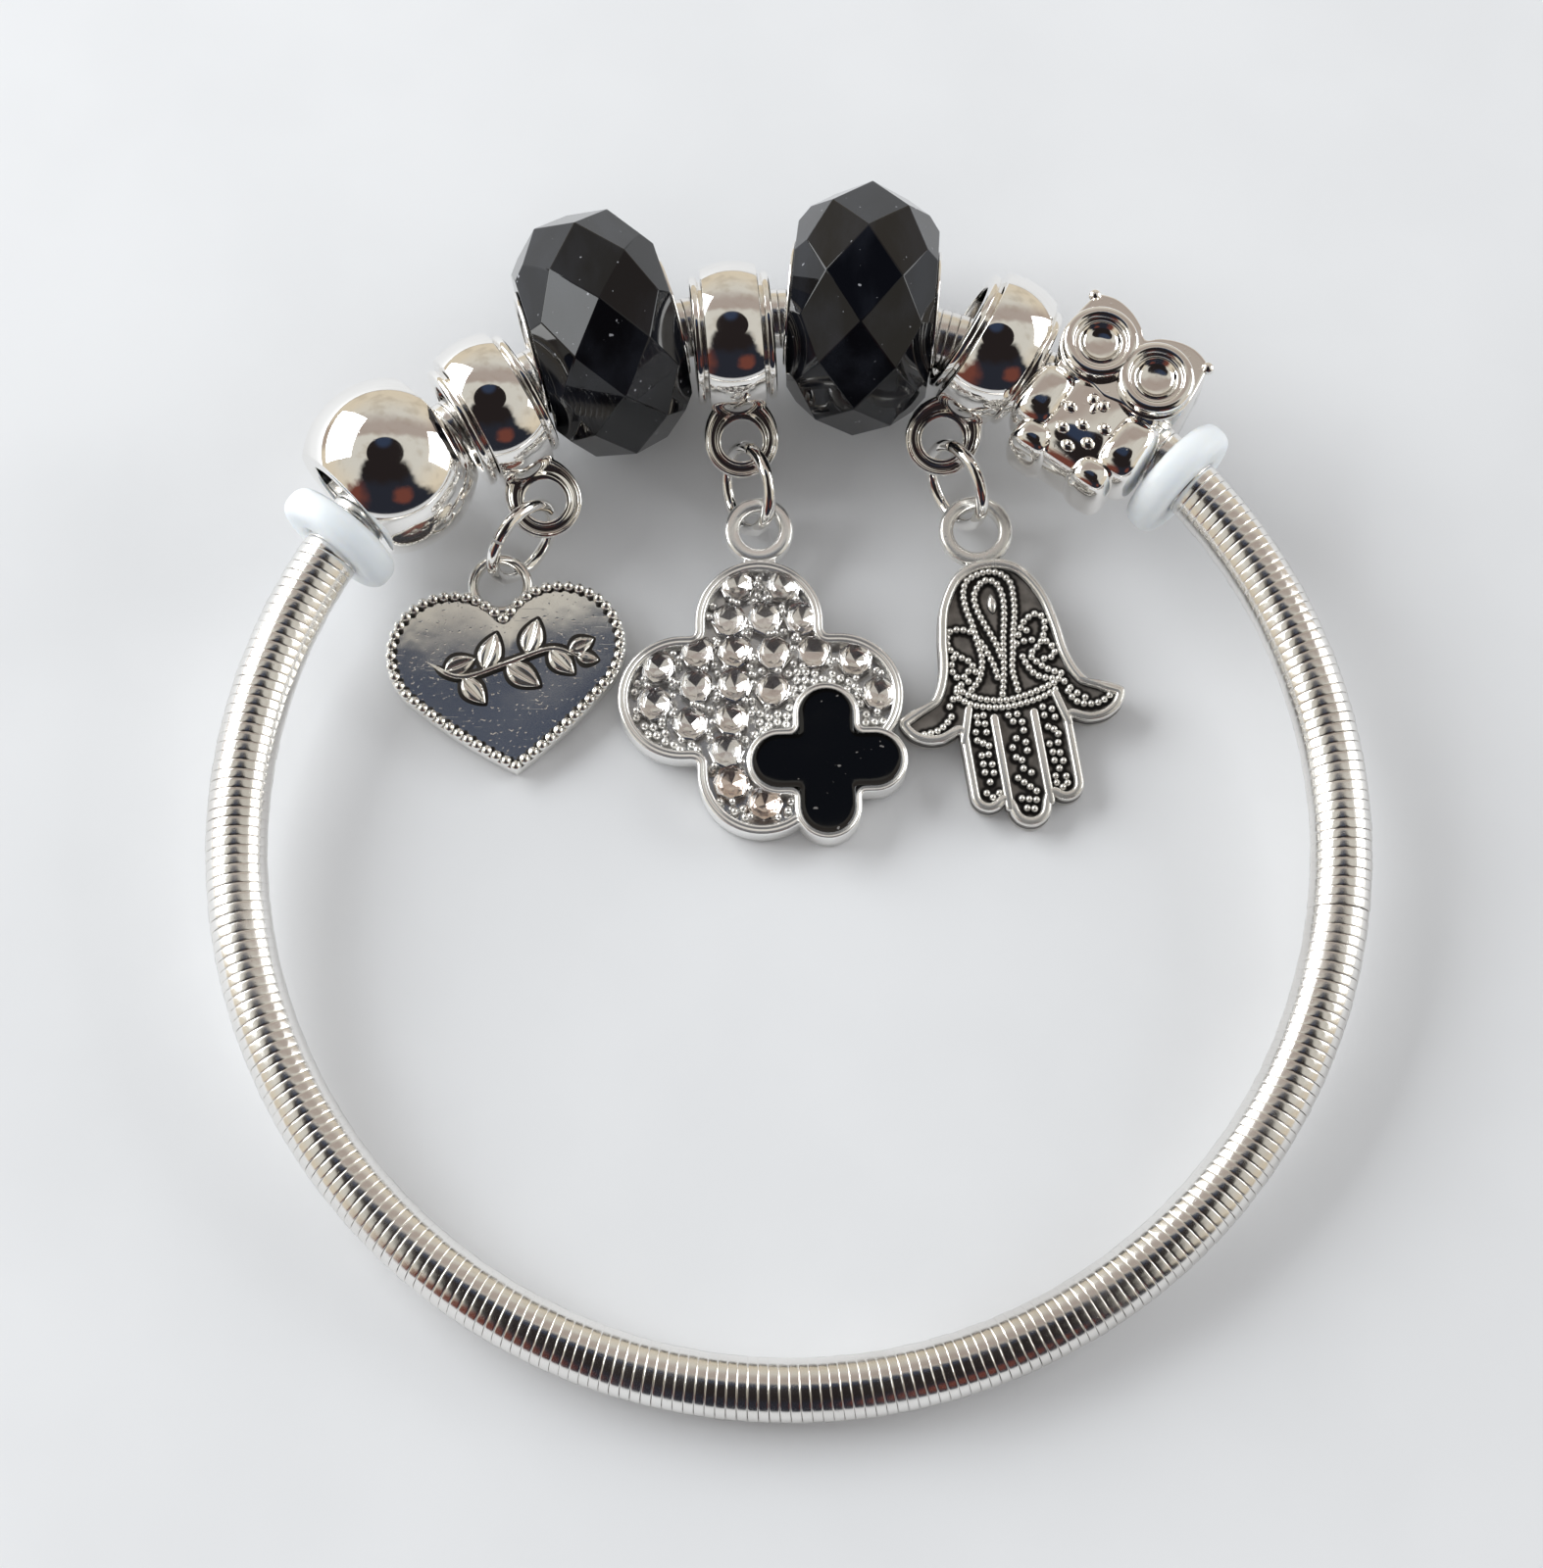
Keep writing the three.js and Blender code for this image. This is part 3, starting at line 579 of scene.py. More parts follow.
black_glass = black_glass_finish()
for side, roll, *place in (("left", 8, -20.1, 3.5, 0.82, 0.26), ("right", -16, 7.9, -3, 0.8, 0.14)):
    glass = make_piece(f"glass_{side}", threaded([facetted_glass()], *place, roll=roll),
                       black_glass, f"facet_bead_{side}", sharp=1)
    ground_edges(glass)
    make_piece(f"sleeve_{side}", threaded([silver_sleeve()], *place), mirror_silver,
               f"facet_core_{side}")

# ------------------------------------------------------------------ owl bead
# A cast owl that the band runs through, seen from above: big ringed eyes with domed
# pupils, a brow that ends in ear tufts, folded wings, feet, and scales down the breast.

owl_station, owl_turn, owl_out = 36, -0.5, 0.25
eye_across, eye_out, eye_foot = 1.87, 1.93, 2.0


def round_up(profile, sides):
    """An open profile of (out, height) pairs spun once about the upright; both its ends
    close on the middle."""
    out, height = np.asarray(profile, float).T[:, :, None]
    return skin(round_ring(out, height, full_turn(sides)))


def half_round(arcs, pole):
    """A half circle of (out, height) pairs that stops just short of both poles."""
    lean = np.linspace(pole, pi - pole, arcs)
    return np.stack([np.sin(lean), np.cos(lean)], -1)


def lump(spot, size, sides, plump=1.0):
    """A rounded lump: a unit ball pulled out to its half sizes. A plump power below 1 swells
    it towards a rounded block."""
    points, faces = round_up(half_round(sides // 2, 0.02), sides)
    points = np.sign(points) * np.abs(points) ** plump
    return points * np.asarray(size, float) + np.asarray(spot, float), faces


def raised(flat, height):
    """Rings drawn flat, with each point lifted to its height."""
    height = np.broadcast_to(height, flat.shape[:-1])
    return np.concatenate([flat, height[..., None]], -1)


def slab_of(outline, low, high, edge):
    """A flat plate inside an outline with rounded upper and lower edges. The outline
    shrinks towards its middle by the edge's width as it turns over."""
    flat_ring = 1.6  # this many edge widths in, so that the face stays flat up to the edge
    middle = outline.mean(0)
    reach = np.linalg.norm(outline - middle, axis=1)[:, None]
    bend = np.linspace(0, pi / 2, 5)
    over = 1 - np.sin(bend)
    taken = np.concatenate([[flat_ring], over, over[::-1], [flat_ring]]) * edge
    turn = edge * (1 - np.cos(bend))
    height = np.concatenate([[low], low + turn, high - turn[::-1], [high]])
    flat = outline - (outline - middle) / reach * taken[:, None, None]
    return skin(raised(flat, height[:, None]))


def stepped(line, count, endpoint):
    """A line cut into equal steps along its own length."""
    length = np.concatenate([[0], np.cumsum(np.linalg.norm(np.diff(line, axis=0), axis=1))])
    at = np.linspace(0, length[-1], count, endpoint=endpoint)
    return np.stack([np.interp(at, length, side) for side in line.T], -1)


def smooth_line(points, count, closed=False):
    """Points at even steps along a smooth curve through the given ones (each stretch is
    a cubic whose slope at a point is half the way between its neighbours)."""
    points = np.asarray(points, float)
    if closed:
        knots = np.vstack([points[-1:], points, points[:2]])
    else:
        knots = np.vstack([2 * points[0] - points[1], points, 2 * points[-1] - points[-2]])
    t = np.linspace(0, 1, 24, endpoint=False)[None, :, None]
    a, b, c, d = knots[:-3, None], knots[1:-2, None], knots[2:-1, None], knots[3:, None]
    curve = b + t / 2 * (c - a + t * (2 * a - 5 * b + 4 * c - d + t * (3 * b - a - 3 * c + d)))
    curve = np.vstack([curve.reshape(-1, points.shape[1]), knots[-2]])
    return stepped(curve, count, not closed)


def owl_shells():
    """Barrel, breast, brow, eyes, wings, feet, beak and scales, each its own closed
    surface; they run into each other with the sharp creases of a small casting."""
    barrel = spun(softened([(2.2, -3.3), (2.8, -3.3), (2.8, 3.3), (2.2, 3.3)], 0.25), 64)
    half_brow = [(0, 3.75), (0.7, 4.3), (1.7, 4.75), (2.8, 4.85), (3.8, 4.45), (3.9, 3.9),
                 (4.08, 2.6), (4.1, 1.6), (3.75, 0.6), (3.0, -0.1), (2.0, -0.38), (1.0, -0.35)]
    left_brow = [(0, -0.55)] + [(-x, y) for x, y in half_brow[:0:-1]]
    brow = slab_of(smooth_line(half_brow + left_brow, 160, closed=True), -2.2, 2.95, 0.16)
    eye = [(0.1, eye_foot), (2.05, eye_foot), (2.15, eye_foot + 0.15), (2.15, 3.45), (2.08, 3.62),
           (1.95, 3.7), (1.62, 3.7), (1.52, 3.64), (1.48, 3.46), (1.42, 3.42), (1.3, 3.42),
           (1.24, 3.5), (1.16, 3.53), (1.08, 3.46), (1.0, 3.3), (0.85, 3.22), (0.6, 3.17),
           (0.3, 3.15), (0.05, 3.15)]
    ringed, eye_faces = round_up(eye, 80)
    shells = [barrel, brow, lump((0, -1.75, 0.1), (2.95, 3.5, 2.85), 72, 0.6)]
    for side in (-1, 1):
        shells += [
            (ringed + (side * eye_across, eye_out, 0), eye_faces),
            lump((side * 2.75, -2.1, 0.85), (1.45, 2.15, 2.5), 56, 0.64),  # wing
            lump((side * 1.95, -4.5, 0.45), (1.3, 1.1, 2.5), 48, 0.64),  # foot
            lump((side * 3.82, 4.33, 2.85), (0.37, 0.37, 0.32), 20),  # ear tuft
            lump((side * 0.36, -0.98, 2.98), (0.34, 0.36, 0.25), 20)]  # side of the beak
    shells.append(lump((0, -1.35, 2.98), (0.24, 0.42, 0.25), 20))
    for x, y in ((-1.15, -2.1), (1.15, -2.1), (0, -2.6), (-0.85, -3.35), (0.85, -3.35), (0, -4.1)):
        shells += [lump((x, y, 2.93), (0.42, 0.34, 0.15), 24),
                   lump((x, y + 0.12, 3.03), (0.2, 0.2, 0.16), 16)]
    return shells


cast_silver = marked_metal(
    "cast_silver", (0.93, 0.91, 0.88), (0.84, 0.815, 0.78),
    gloss=0.05, smeared=0.12, depth=0.003, size=8000.0)
owl = threaded(owl_shells(), owl_station, owl_turn, owl_out)
make_piece("owl", owl, cast_silver, "owl_bead")

# ------------------------------------------------------------------ jump rings
# Three rings of bright round wire, each cut once, opened sideways to take a charm and a
# bail's eye, and pressed shut again so that the cut hardly shows.

ring_radius, ring_wire = 2.4, 0.75
ring_axes = {
    "heart": (0.75, -0.64, 0.2), "clover": (-0.86, -0.32, 0.4), "hamsa": (-0.82, -0.49, 0.29)}


def cut_ring(axis, middle):
    """A round section carried almost once round a circle about the axis; the two cut ends
    stand a hair apart."""
    cut_gap, cut_at = 0.03, 2.2
    angle = np.linspace(cut_gap, 2 * pi - cut_gap, 90)[:, None] + cut_at
    side = full_turn(20)
    out, up = ring_radius + ring_wire / 2 * np.cos(side), ring_wire / 2 * np.sin(side)
    points, faces = skin(round_ring(out, up, angle))
    axis = np.array(axis) / np.linalg.norm(axis)
    level = np.cross((0, 0, 1), axis)
    level /= np.linalg.norm(level)
    return points @ np.stack([level, np.cross(axis, level), axis]) + middle, faces


for charm, axis in ring_axes.items():
    low, high = (np.array(corner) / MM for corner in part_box(f"jump_ring_{charm}"))
    make_piece(f"ring_{charm}", [cut_ring(axis, (low + high) / 2)], mirror_silver,
               f"jump_ring_{charm}")

# ------------------------------------------------------------------ heart charm
# A flat cast heart with a row of small beads round its edge. The middle is polished and
# carries a struck sprig of leaves; the black left in the hollows makes the relief stand out.

back_depth = 0.7
charm_back = [(0.15, -back_depth), (0.04, -0.66), (0, -0.55)]  # how the edge turns under
charm_places = {
    "heart": (-16.51, 15.65, 6, 6, 11.15), "clover": (-1.68, 18.8, 1.3, 5.5, 18.22),
    "hamsa": (10.81, 18.82, 9, 5.5, 17.82)}
heart_edge, heart_field, heart_dome, bead_size = 0.58, 0.4, 0.02, 0.32


def hung(charm, shells):
    """A charm drawn flat, with its ring round the origin and its body towards -Y, laid in
    its place: turned, propped up at the ring and resting on its far end."""
    x, y, heading, tilt, reach = charm_places[charm]
    lean = radians(tilt)
    spot = laid + (x, y, reach * np.sin(lean) + back_depth * np.cos(lean))
    way = turned("Z", heading) @ turned("X", tilt)
    return [(points @ way.T + spot, faces) for points, faces in shells]


def moved_in(outline, middle, insets):
    """Rings inside an outline, one for each inset. Every point slides along the straight
    line to the middle until its distance from the outline is the inset."""
    spokes = outline - middle
    length = np.linalg.norm(spokes, axis=1)
    edge = np.roll(outline, -1, 0) - outline
    square = np.maximum((edge**2).sum(-1), 1e-12)
    share = np.ones((len(insets), len(outline)))
    for _ in range(12):
        points = middle + share[..., None] * spokes
        gap = points[:, :, None] - outline
        along = np.clip((gap * edge).sum(-1) / square, 0, 1)
        distance = np.linalg.norm(gap - along[..., None] * edge, axis=-1).min(-1)
        share += (distance - np.asarray(insets, float)[:, None]) / length
    return middle + share[..., None] * spokes


def carried(outline, middle, section, fill, dome=0.0):
    """A plate whose edge is a section of (inset, height) pairs carried round the outline,
    from the back to the front. Past the last pair, fill rings shrink to the middle and
    rise to the dome's height like a round arch."""
    inset, height = np.asarray(section, float).T
    flat = moved_in(outline, np.asarray(middle, float), inset)
    share = np.linspace(1, 0.02, fill + 1)[1:]
    flat = np.concatenate([flat, middle + share[:, None, None] * (flat[-1] - middle)])
    height = np.concatenate([height, height[-1] + dome * (1 - share**2)])
    return skin(raised(flat, height[:, None]))


def hanging_ring(outer, hole, thick, neck_end):
    """The cast ring a charm hangs by: a rounded flat section spun about the upright, and a
    short block that joins it to the body."""
    half = thick / 2
    section = softened([(hole, -half), (outer, -half), (outer, half), (hole, half)], 0.32, 7)
    out, up = section.T[:, :, None]
    ring = skin(round_ring(out, up, full_turn(96)), looped=True)
    neck = [(-0.9, -1.5), (0.9, -1.5), (1.0, -neck_end), (-1.0, -neck_end)]
    return [ring, slab_of(softened(neck, 0.2), -half * 0.8, half * 0.8, 0.12)]


def evenly(line, count):
    """A closed line cut into equal steps, so that its points don't bunch at its corners."""
    return stepped(np.vstack([line, line[:1]]), count, False)


def heart_outline():
    """Two round lobes that meet in a cleft, with sides that bend in to the tip."""
    lobe_out, lobe_down, lobe_size = 3.1, 3.92, 3.75
    t = np.linspace(0, 1, 60)[:, None]
    angle = np.linspace(radians(-48), np.arctan2(lobe_down - 1.8, -lobe_out), 120)
    lobe = np.stack([lobe_out + lobe_size * np.cos(angle),
                     -lobe_down + lobe_size * np.sin(angle)], -1)
    tip, bend = np.array([0, -11.15]), np.array([3, -9.3])
    side = (1 - t) ** 2 * tip + 2 * t * (1 - t) * bend + t**2 * lobe[0]
    right = np.vstack([side, lobe[1:]])
    return evenly(np.vstack([right, right[-2:0:-1] * (-1, 1)]), 480)


def grains(spots, height, size, sides, arcs, flatten=1.0):
    """Many small balls as one surface: one ball's points are set down at every spot."""
    ball_points, ball_faces = round_up(half_round(arcs, 0.15), sides)
    spots = np.asarray(spots, float)
    middles = raised(spots, height)
    points = middles[:, None] + ball_points * size * (1, 1, flatten)
    start = np.arange(len(spots))[:, None, None] * len(ball_points)
    faces = [(group + start).reshape(-1, group.shape[1]) for group in ball_faces]
    return points.reshape(-1, 3), faces


def leaf(root, tip, width, base, rise, groove=0.0):
    """A pointed leaf from root to tip: its width swells and shrinks like half a wave, and
    its domed top sinks along the middle vein."""
    root, way = np.asarray(root, float), np.subtract(tip, root)
    along = np.linspace(0.01, 0.99, 22)[:, None]
    cross = np.array([-way[1], way[0]]) / np.linalg.norm(way)
    half = width / 2 * np.sin(pi * along**0.8) ** 0.8
    over, upright = np.cos(full_turn(20)), np.sin(full_turn(20))
    dome = np.maximum(upright, 0) * (1 - groove * np.exp(-((over / 0.22) ** 2)))
    up = base + rise * dome * (half / width * 2) ** 0.5 - 0.1 * np.maximum(-upright, 0)
    return skin(raised(root + along[..., None] * way + (half * over)[..., None] * cross, up))


def drawn_wire(line, height, width, rise):
    """A half-round strand carried along a line on a flat face, thinner at both ends."""
    line = np.asarray(line, float)
    way = np.gradient(line, axis=0)
    way /= np.linalg.norm(way, axis=1)[:, None]
    cross = np.stack([-way[:, 1], way[:, 0]], -1)
    side = full_turn(12)
    ramp = np.minimum(1, np.linspace(0, 8, len(line)))
    ease = np.maximum(ramp * ramp[::-1], 0.15)[:, None]
    flat = line[:, None] + (width / 2 * ease * np.cos(side))[..., None] * cross[:, None]
    return skin(raised(flat, height + rise * ease * np.sin(side)))


heart_line, heart_middle = heart_outline(), np.array([0, -4.9])
heart_plate = carried(heart_line, heart_middle, charm_back + [
    (0, 0.1), (0.04, 0.2), (0.12, 0.26), (0.5, 0.26), (0.54, 0.34), (heart_edge, heart_field)],
    40, heart_dome)


def on_heart(shell):
    """A surface drawn on a flat face, lifted on to the heart's dome."""
    points, faces = shell
    spokes = points[:, :2] - heart_middle
    rim = moved_in(heart_line, heart_middle, [heart_edge])[0] - heart_middle
    bearing = np.arctan2(rim[:, 1], rim[:, 0])
    order = np.argsort(bearing)
    reach = np.interp(np.arctan2(spokes[:, 1], spokes[:, 0]), bearing[order],
                      np.linalg.norm(rim, axis=1)[order], period=2 * pi)
    share = np.linalg.norm(spokes, axis=1) / reach
    lift = heart_field + heart_dome * (1 - share**2)
    return points + lift[:, None] * (0, 0, 1), faces


stem = smooth_line([(-4.6, -4.2), (-2.7, -5.3), (0, -4.75), (2.6, -4.15), (4.3, -4.9)], 60)
forward, aside, plumpness = 0.62, 0.78, 0.56  # how a leaf leans off the stem, and its breadth
leaves = []
for at, across, size in ((7, 1, 2.0), (14, -1, 2.1), (22, 1, 2.4), (30, -1, 2.4), (38, 1, 2.3),
                         (46, -1, 2.1), (53, 1, 1.7)):
    way = stem[at + 1] - stem[at]
    way /= np.linalg.norm(way)
    lean = np.array([way[0] * forward - across * way[1] * aside,
                     way[1] * forward + across * way[0] * aside])
    leaves.append((stem[at] + lean * 0.15, stem[at] + lean * size, size * plumpness))
leaves.append((stem[-3], stem[-3] + (1.2, -0.35), 0.7))

polished_heart = marked_metal(
    "polished_heart", (0.94, 0.93, 0.9), (0.84, 0.825, 0.79),
    gloss=0.06, smeared=0.14, depth=0.004, dents=1.2, metal=0.94)
bead_line = evenly(moved_in(heart_line, heart_middle, [0.27])[0], 60)
bright = [heart_plate, grains(bead_line, height=0.44, size=bead_size, sides=14, arcs=9)]
bright += hanging_ring(outer=1.88, hole=1.27, thick=0.84, neck_end=2.4)
bright += [on_heart(leaf(root, tip, width, base=0.02, rise=0.22, groove=0.8))
           for root, tip, width in leaves]
bright.append(on_heart(drawn_wire(stem, height=0.02, width=0.32, rise=0.18)))
make_piece("heart", hung("heart", bright), polished_heart, "heart_charm")

blackened = marked_metal(
    "blackened_silver", (0.03, 0.028, 0.027), (0.085, 0.08, 0.075),
    gloss=0.35, smeared=0.6, depth=0.006)
dark = [on_heart(leaf(root - (tip - root) * 0.12, tip + (tip - root) * 0.14, width + 0.62,
                      base=-0.02, rise=0.05)) for root, tip, width in leaves]
dark.append(on_heart(drawn_wire(stem, height=-0.02, width=0.8, rise=0.05)))
pits = (bead_line + np.roll(bead_line, -1, 0)) / 2
inwards = heart_middle - pits
pits += 0.24 * inwards / np.linalg.norm(inwards, axis=1)[:, None]
dark.append(grains(pits, height=0.38, size=0.2, sides=12, arcs=7, flatten=0.45))
make_piece("heart_blackening", hung("heart", dark), blackened, "heart_charm")

# ------------------------------------------------------------------ four-leaf clover charm
# A cast tray with a plain wall, packed with round crystals that tiny beads of metal hold
# down. A small walled cell shaped like the same leaf overlaps it, filled with black enamel.

clover_middle, lobe_offset, lobe_radius = np.array([-0.11, -10.15]), 4.42, 3.65
cell_middle, cell_offset, cell_radius, cell_wall = np.array([3.54, -14.05]), 2.65, 1.52, 0.37
stone_spots = [
    (-1.2, 6.7), (1.45, 6.6), (-1.7, 4.6), (0.35, 4.7), (2.45, 4.6), (-3.5, 2.75), (-1.4, 2.75),
    (0.8, 2.6), (3.1, 2.6), (5.4, 2.1), (-5.75, 1.9), (-3.65, 0.75), (-1.45, 0.75), (0.7, 0.45),
    (-6, -0.25), (-4, -1.45), (-1.65, -1.2), (-2, -3.1), (-1.75, -4.95), (0.1, -6.2), (6.7, 0.1)]
tinged_stones = [18, 19]  # the two lowest, whose silvering has gone pink
tray_floor, girdle_at, stone_top, stone_radius = 0.1, 0.92, 1.24, 1.02


def four_leaves(middle, offset, radius, fillet, count=480):
    """Four round lobes on the arms of a cross that is as broad as they are, with a fillet
    in the corners between the arms."""
    angle = np.linspace(-pi / 2, pi / 2, 60)
    lobe = np.stack([offset + radius * np.cos(angle), radius * np.sin(angle)], -1)
    bend = np.linspace(0, pi / 2, 12)[:, None]
    notch = (radius + fillet) - fillet * np.hstack([np.sin(bend), np.cos(bend)])
    arm = np.vstack([lobe, notch])
    cross = np.vstack([arm @ turned("Z", 90 * i)[:2, :2].T for i in range(4)])
    return evenly(cross, count) + middle


def facetted(rings, spot):
    """Rings of (out, height, twist) joined by three-cornered facets, over one spot. Each
    stone is turned by its own place, so that no two glitter alike."""
    sides = 8
    around = [round_ring(out, height, 2 * pi * (np.arange(sides) + twist) / sides + spot[0] * 3)
              for out, height, twist in rings]
    points, (quads, fans) = skin(np.stack(around))
    halves = np.vstack([quads[:, [0, 1, 2]], quads[:, [0, 2, 3]]])
    return points + (*spot, 0), [halves, fans]


def cut_stone(spot):
    """The crown of a round crystal: a flat table, and facets that fall to the girdle."""
    return facetted([(0.05, 0.82, 0), (0.9, 0.84, 0), (stone_radius, girdle_at, 0),
                     (0.86, 1.08, 0.5), (0.6, stone_top, 0)], spot)


def foiled_back(spot):
    """The silvered point of the crystal, seen through its crown."""
    deep = 0.1 + 0.05 * np.sin(5 * spot[0] + 3 * spot[1])
    return facetted([(1.0, 0.2, 0), (1.04, 0.8, 0), (0.96, 0.82, 0), (0.55, 0.82 - deep, 0.5),
                     (0.03, 0.82 - 2.4 * deep, 0)], spot)


clover_line = four_leaves(clover_middle, lobe_offset, lobe_radius, 0.3)
tray = carried(clover_line, clover_middle, charm_back + [
    (0, 1.05), (0.04, 1.15), (0.12, 1.2), (0.24, 1.2), (0.28, 1.16), (0.33, 1.16), (0.38, 1.2),
    (0.48, 1.19), (0.56, 1.12), (0.6, 0.95), (0.62, tray_floor)], 6)
cell_line = four_leaves(cell_middle, cell_offset, cell_radius + cell_wall, 0.25)
cell_tray = carried(cell_line, cell_middle, charm_back + [
    (0, 1.36), (0.03, 1.46), (0.09, 1.5), (0.15, 1.49), (0.19, 1.43), (0.23, 1.43), (0.27, 1.46),
    (0.32, 1.46), (0.36, 1.4), (cell_wall, 0.6)], 4)
stones = np.array(stone_spots) + clover_middle
angles = np.arange(len(stones))[:, None] * 0.7 + np.arange(4) * pi / 2
prongs = stones[:, None] + 1.12 * np.stack([np.cos(angles), np.sin(angles)], -1)
grid = np.arange(-9, 9, 0.5)
filling = np.stack(np.meshgrid(grid, grid), -1).reshape(-1, 2)
uneven = np.stack([np.sin(filling[:, 1] * 9), np.cos(filling[:, 0] * 7)], -1)
filling += clover_middle + 0.12 * uneven


def inside_tray(spots, clear):
    """The spots that lie in the tray and clear of its wall, the cell and every stone."""
    field = moved_in(clover_line, clover_middle, [0.75])[0]
    near = field[np.linalg.norm(spots[:, None] - field, axis=-1).argmin(1)]
    kept = (np.linalg.norm(spots - clover_middle, axis=1)
            < np.linalg.norm(near - clover_middle, axis=1))
    kept &= np.linalg.norm(spots[:, None] - cell_line, axis=-1).min(1) > 0.15
    kept &= np.linalg.norm(spots[:, None] - stones, axis=-1).min(1) > clear
    off = np.abs(spots - cell_middle)
    kept &= (off.min(1) > cell_radius) | (off.max(1) > cell_offset + cell_radius)
    return spots[kept]


prongs, filling = inside_tray(prongs.reshape(-1, 2), 1.02), inside_tray(filling, 1.16)
metal = [tray, cell_tray, grains(prongs, height=1.0, size=0.2, sides=10, arcs=6),
         grains(filling, height=0.55, size=0.27, sides=10, arcs=6)]
metal += hanging_ring(outer=2, hole=1.12, thick=1, neck_end=2.5)
bright_cast = marked_metal(
    "bright_cast", (0.97, 0.965, 0.95), (0.91, 0.9, 0.88),
    gloss=0.16, smeared=0.28, depth=0.003, size=8000.0, metal=0.8)
make_piece("clover_setting", hung("clover", metal), bright_cast, "clover_charm")


def clear_crystal():
    """Clear cut glass: hard, colourless and bright, with the faintest dust on its facets."""
    finish, tree = new_finish("clear_crystal", IOR=1.56, Transmission_Weight=1.0)
    dust = graded(tree, grained(tree, 900.0, 3.0), 0.5, 0.8)
    return fitted(finish, blended(tree, dust, (1.0, 1.0, 1.0), (0.93, 0.925, 0.91)),
                  graded(tree, dust, 0.2, 1.0, 0.0, 0.03))


crowns = hung("clover", [cut_stone(spot) for spot in stones])
make_piece("clover_crystals", crowns, clear_crystal(), "clover_charm", sharp=1)


def foil_finish(name, fresh, aged):
    """The silvering behind a crystal: a bright smooth foil that has tinged in patches."""
    finish, tree = new_finish(name, Metallic=0.85, Roughness=0.04)
    return fitted(finish, blended(tree, graded(tree, grained(tree, 160.0), 0.4, 0.65), fresh, aged))


clear_stones = np.delete(stones, tinged_stones, 0)
for name, backed, fresh, aged in (
        ("silvered_foil", clear_stones, (0.99, 0.99, 1.0), (0.96, 0.92, 0.89)),
        ("tinged_foil", stones[tinged_stones], (0.93, 0.8, 0.72), (0.8, 0.6, 0.5))):
    backs = hung("clover", [foiled_back(spot) for spot in backed])
    make_piece(name, backs, foil_finish(name, fresh, aged), "clover_charm", sharp=1)


def enamel_finish():
    """Poured black enamel: a wet gloss over dead black, with specks of dust in it."""
    finish, tree = new_finish("poured_enamel", IOR=1.5, Coat_Weight=0.2, Coat_Roughness=0.02)
    specks = graded(tree, grained(tree, 2600.0, 1.0), 0.74, 0.8)
    return fitted(finish, blended(tree, specks, (0.003, 0.003, 0.003), (0.2, 0.19, 0.18)),
                  graded(tree, grained(tree, 260.0), 0.3, 0.8, 0.03, 0.09), specks, 0.01)


enamel_line = four_leaves(cell_middle, cell_offset, cell_radius - 0.01, 0.2, 320)
pool = carried(enamel_line, cell_middle, [
    (0.02, 0.62), (0, 0.7), (0, 1.41), (0.04, 1.39), (0.14, 1.37), (0.3, 1.36)], 4)
make_piece("enamel", hung("clover", [pool]), enamel_finish(), "clover_enamel")

# ------------------------------------------------------------------ hamsa charm
# An open hand cast in one piece, then blackened and rubbed: the raised rim, the bars
# between the fingers and the rows of tiny grains are bright, and the ground is black.

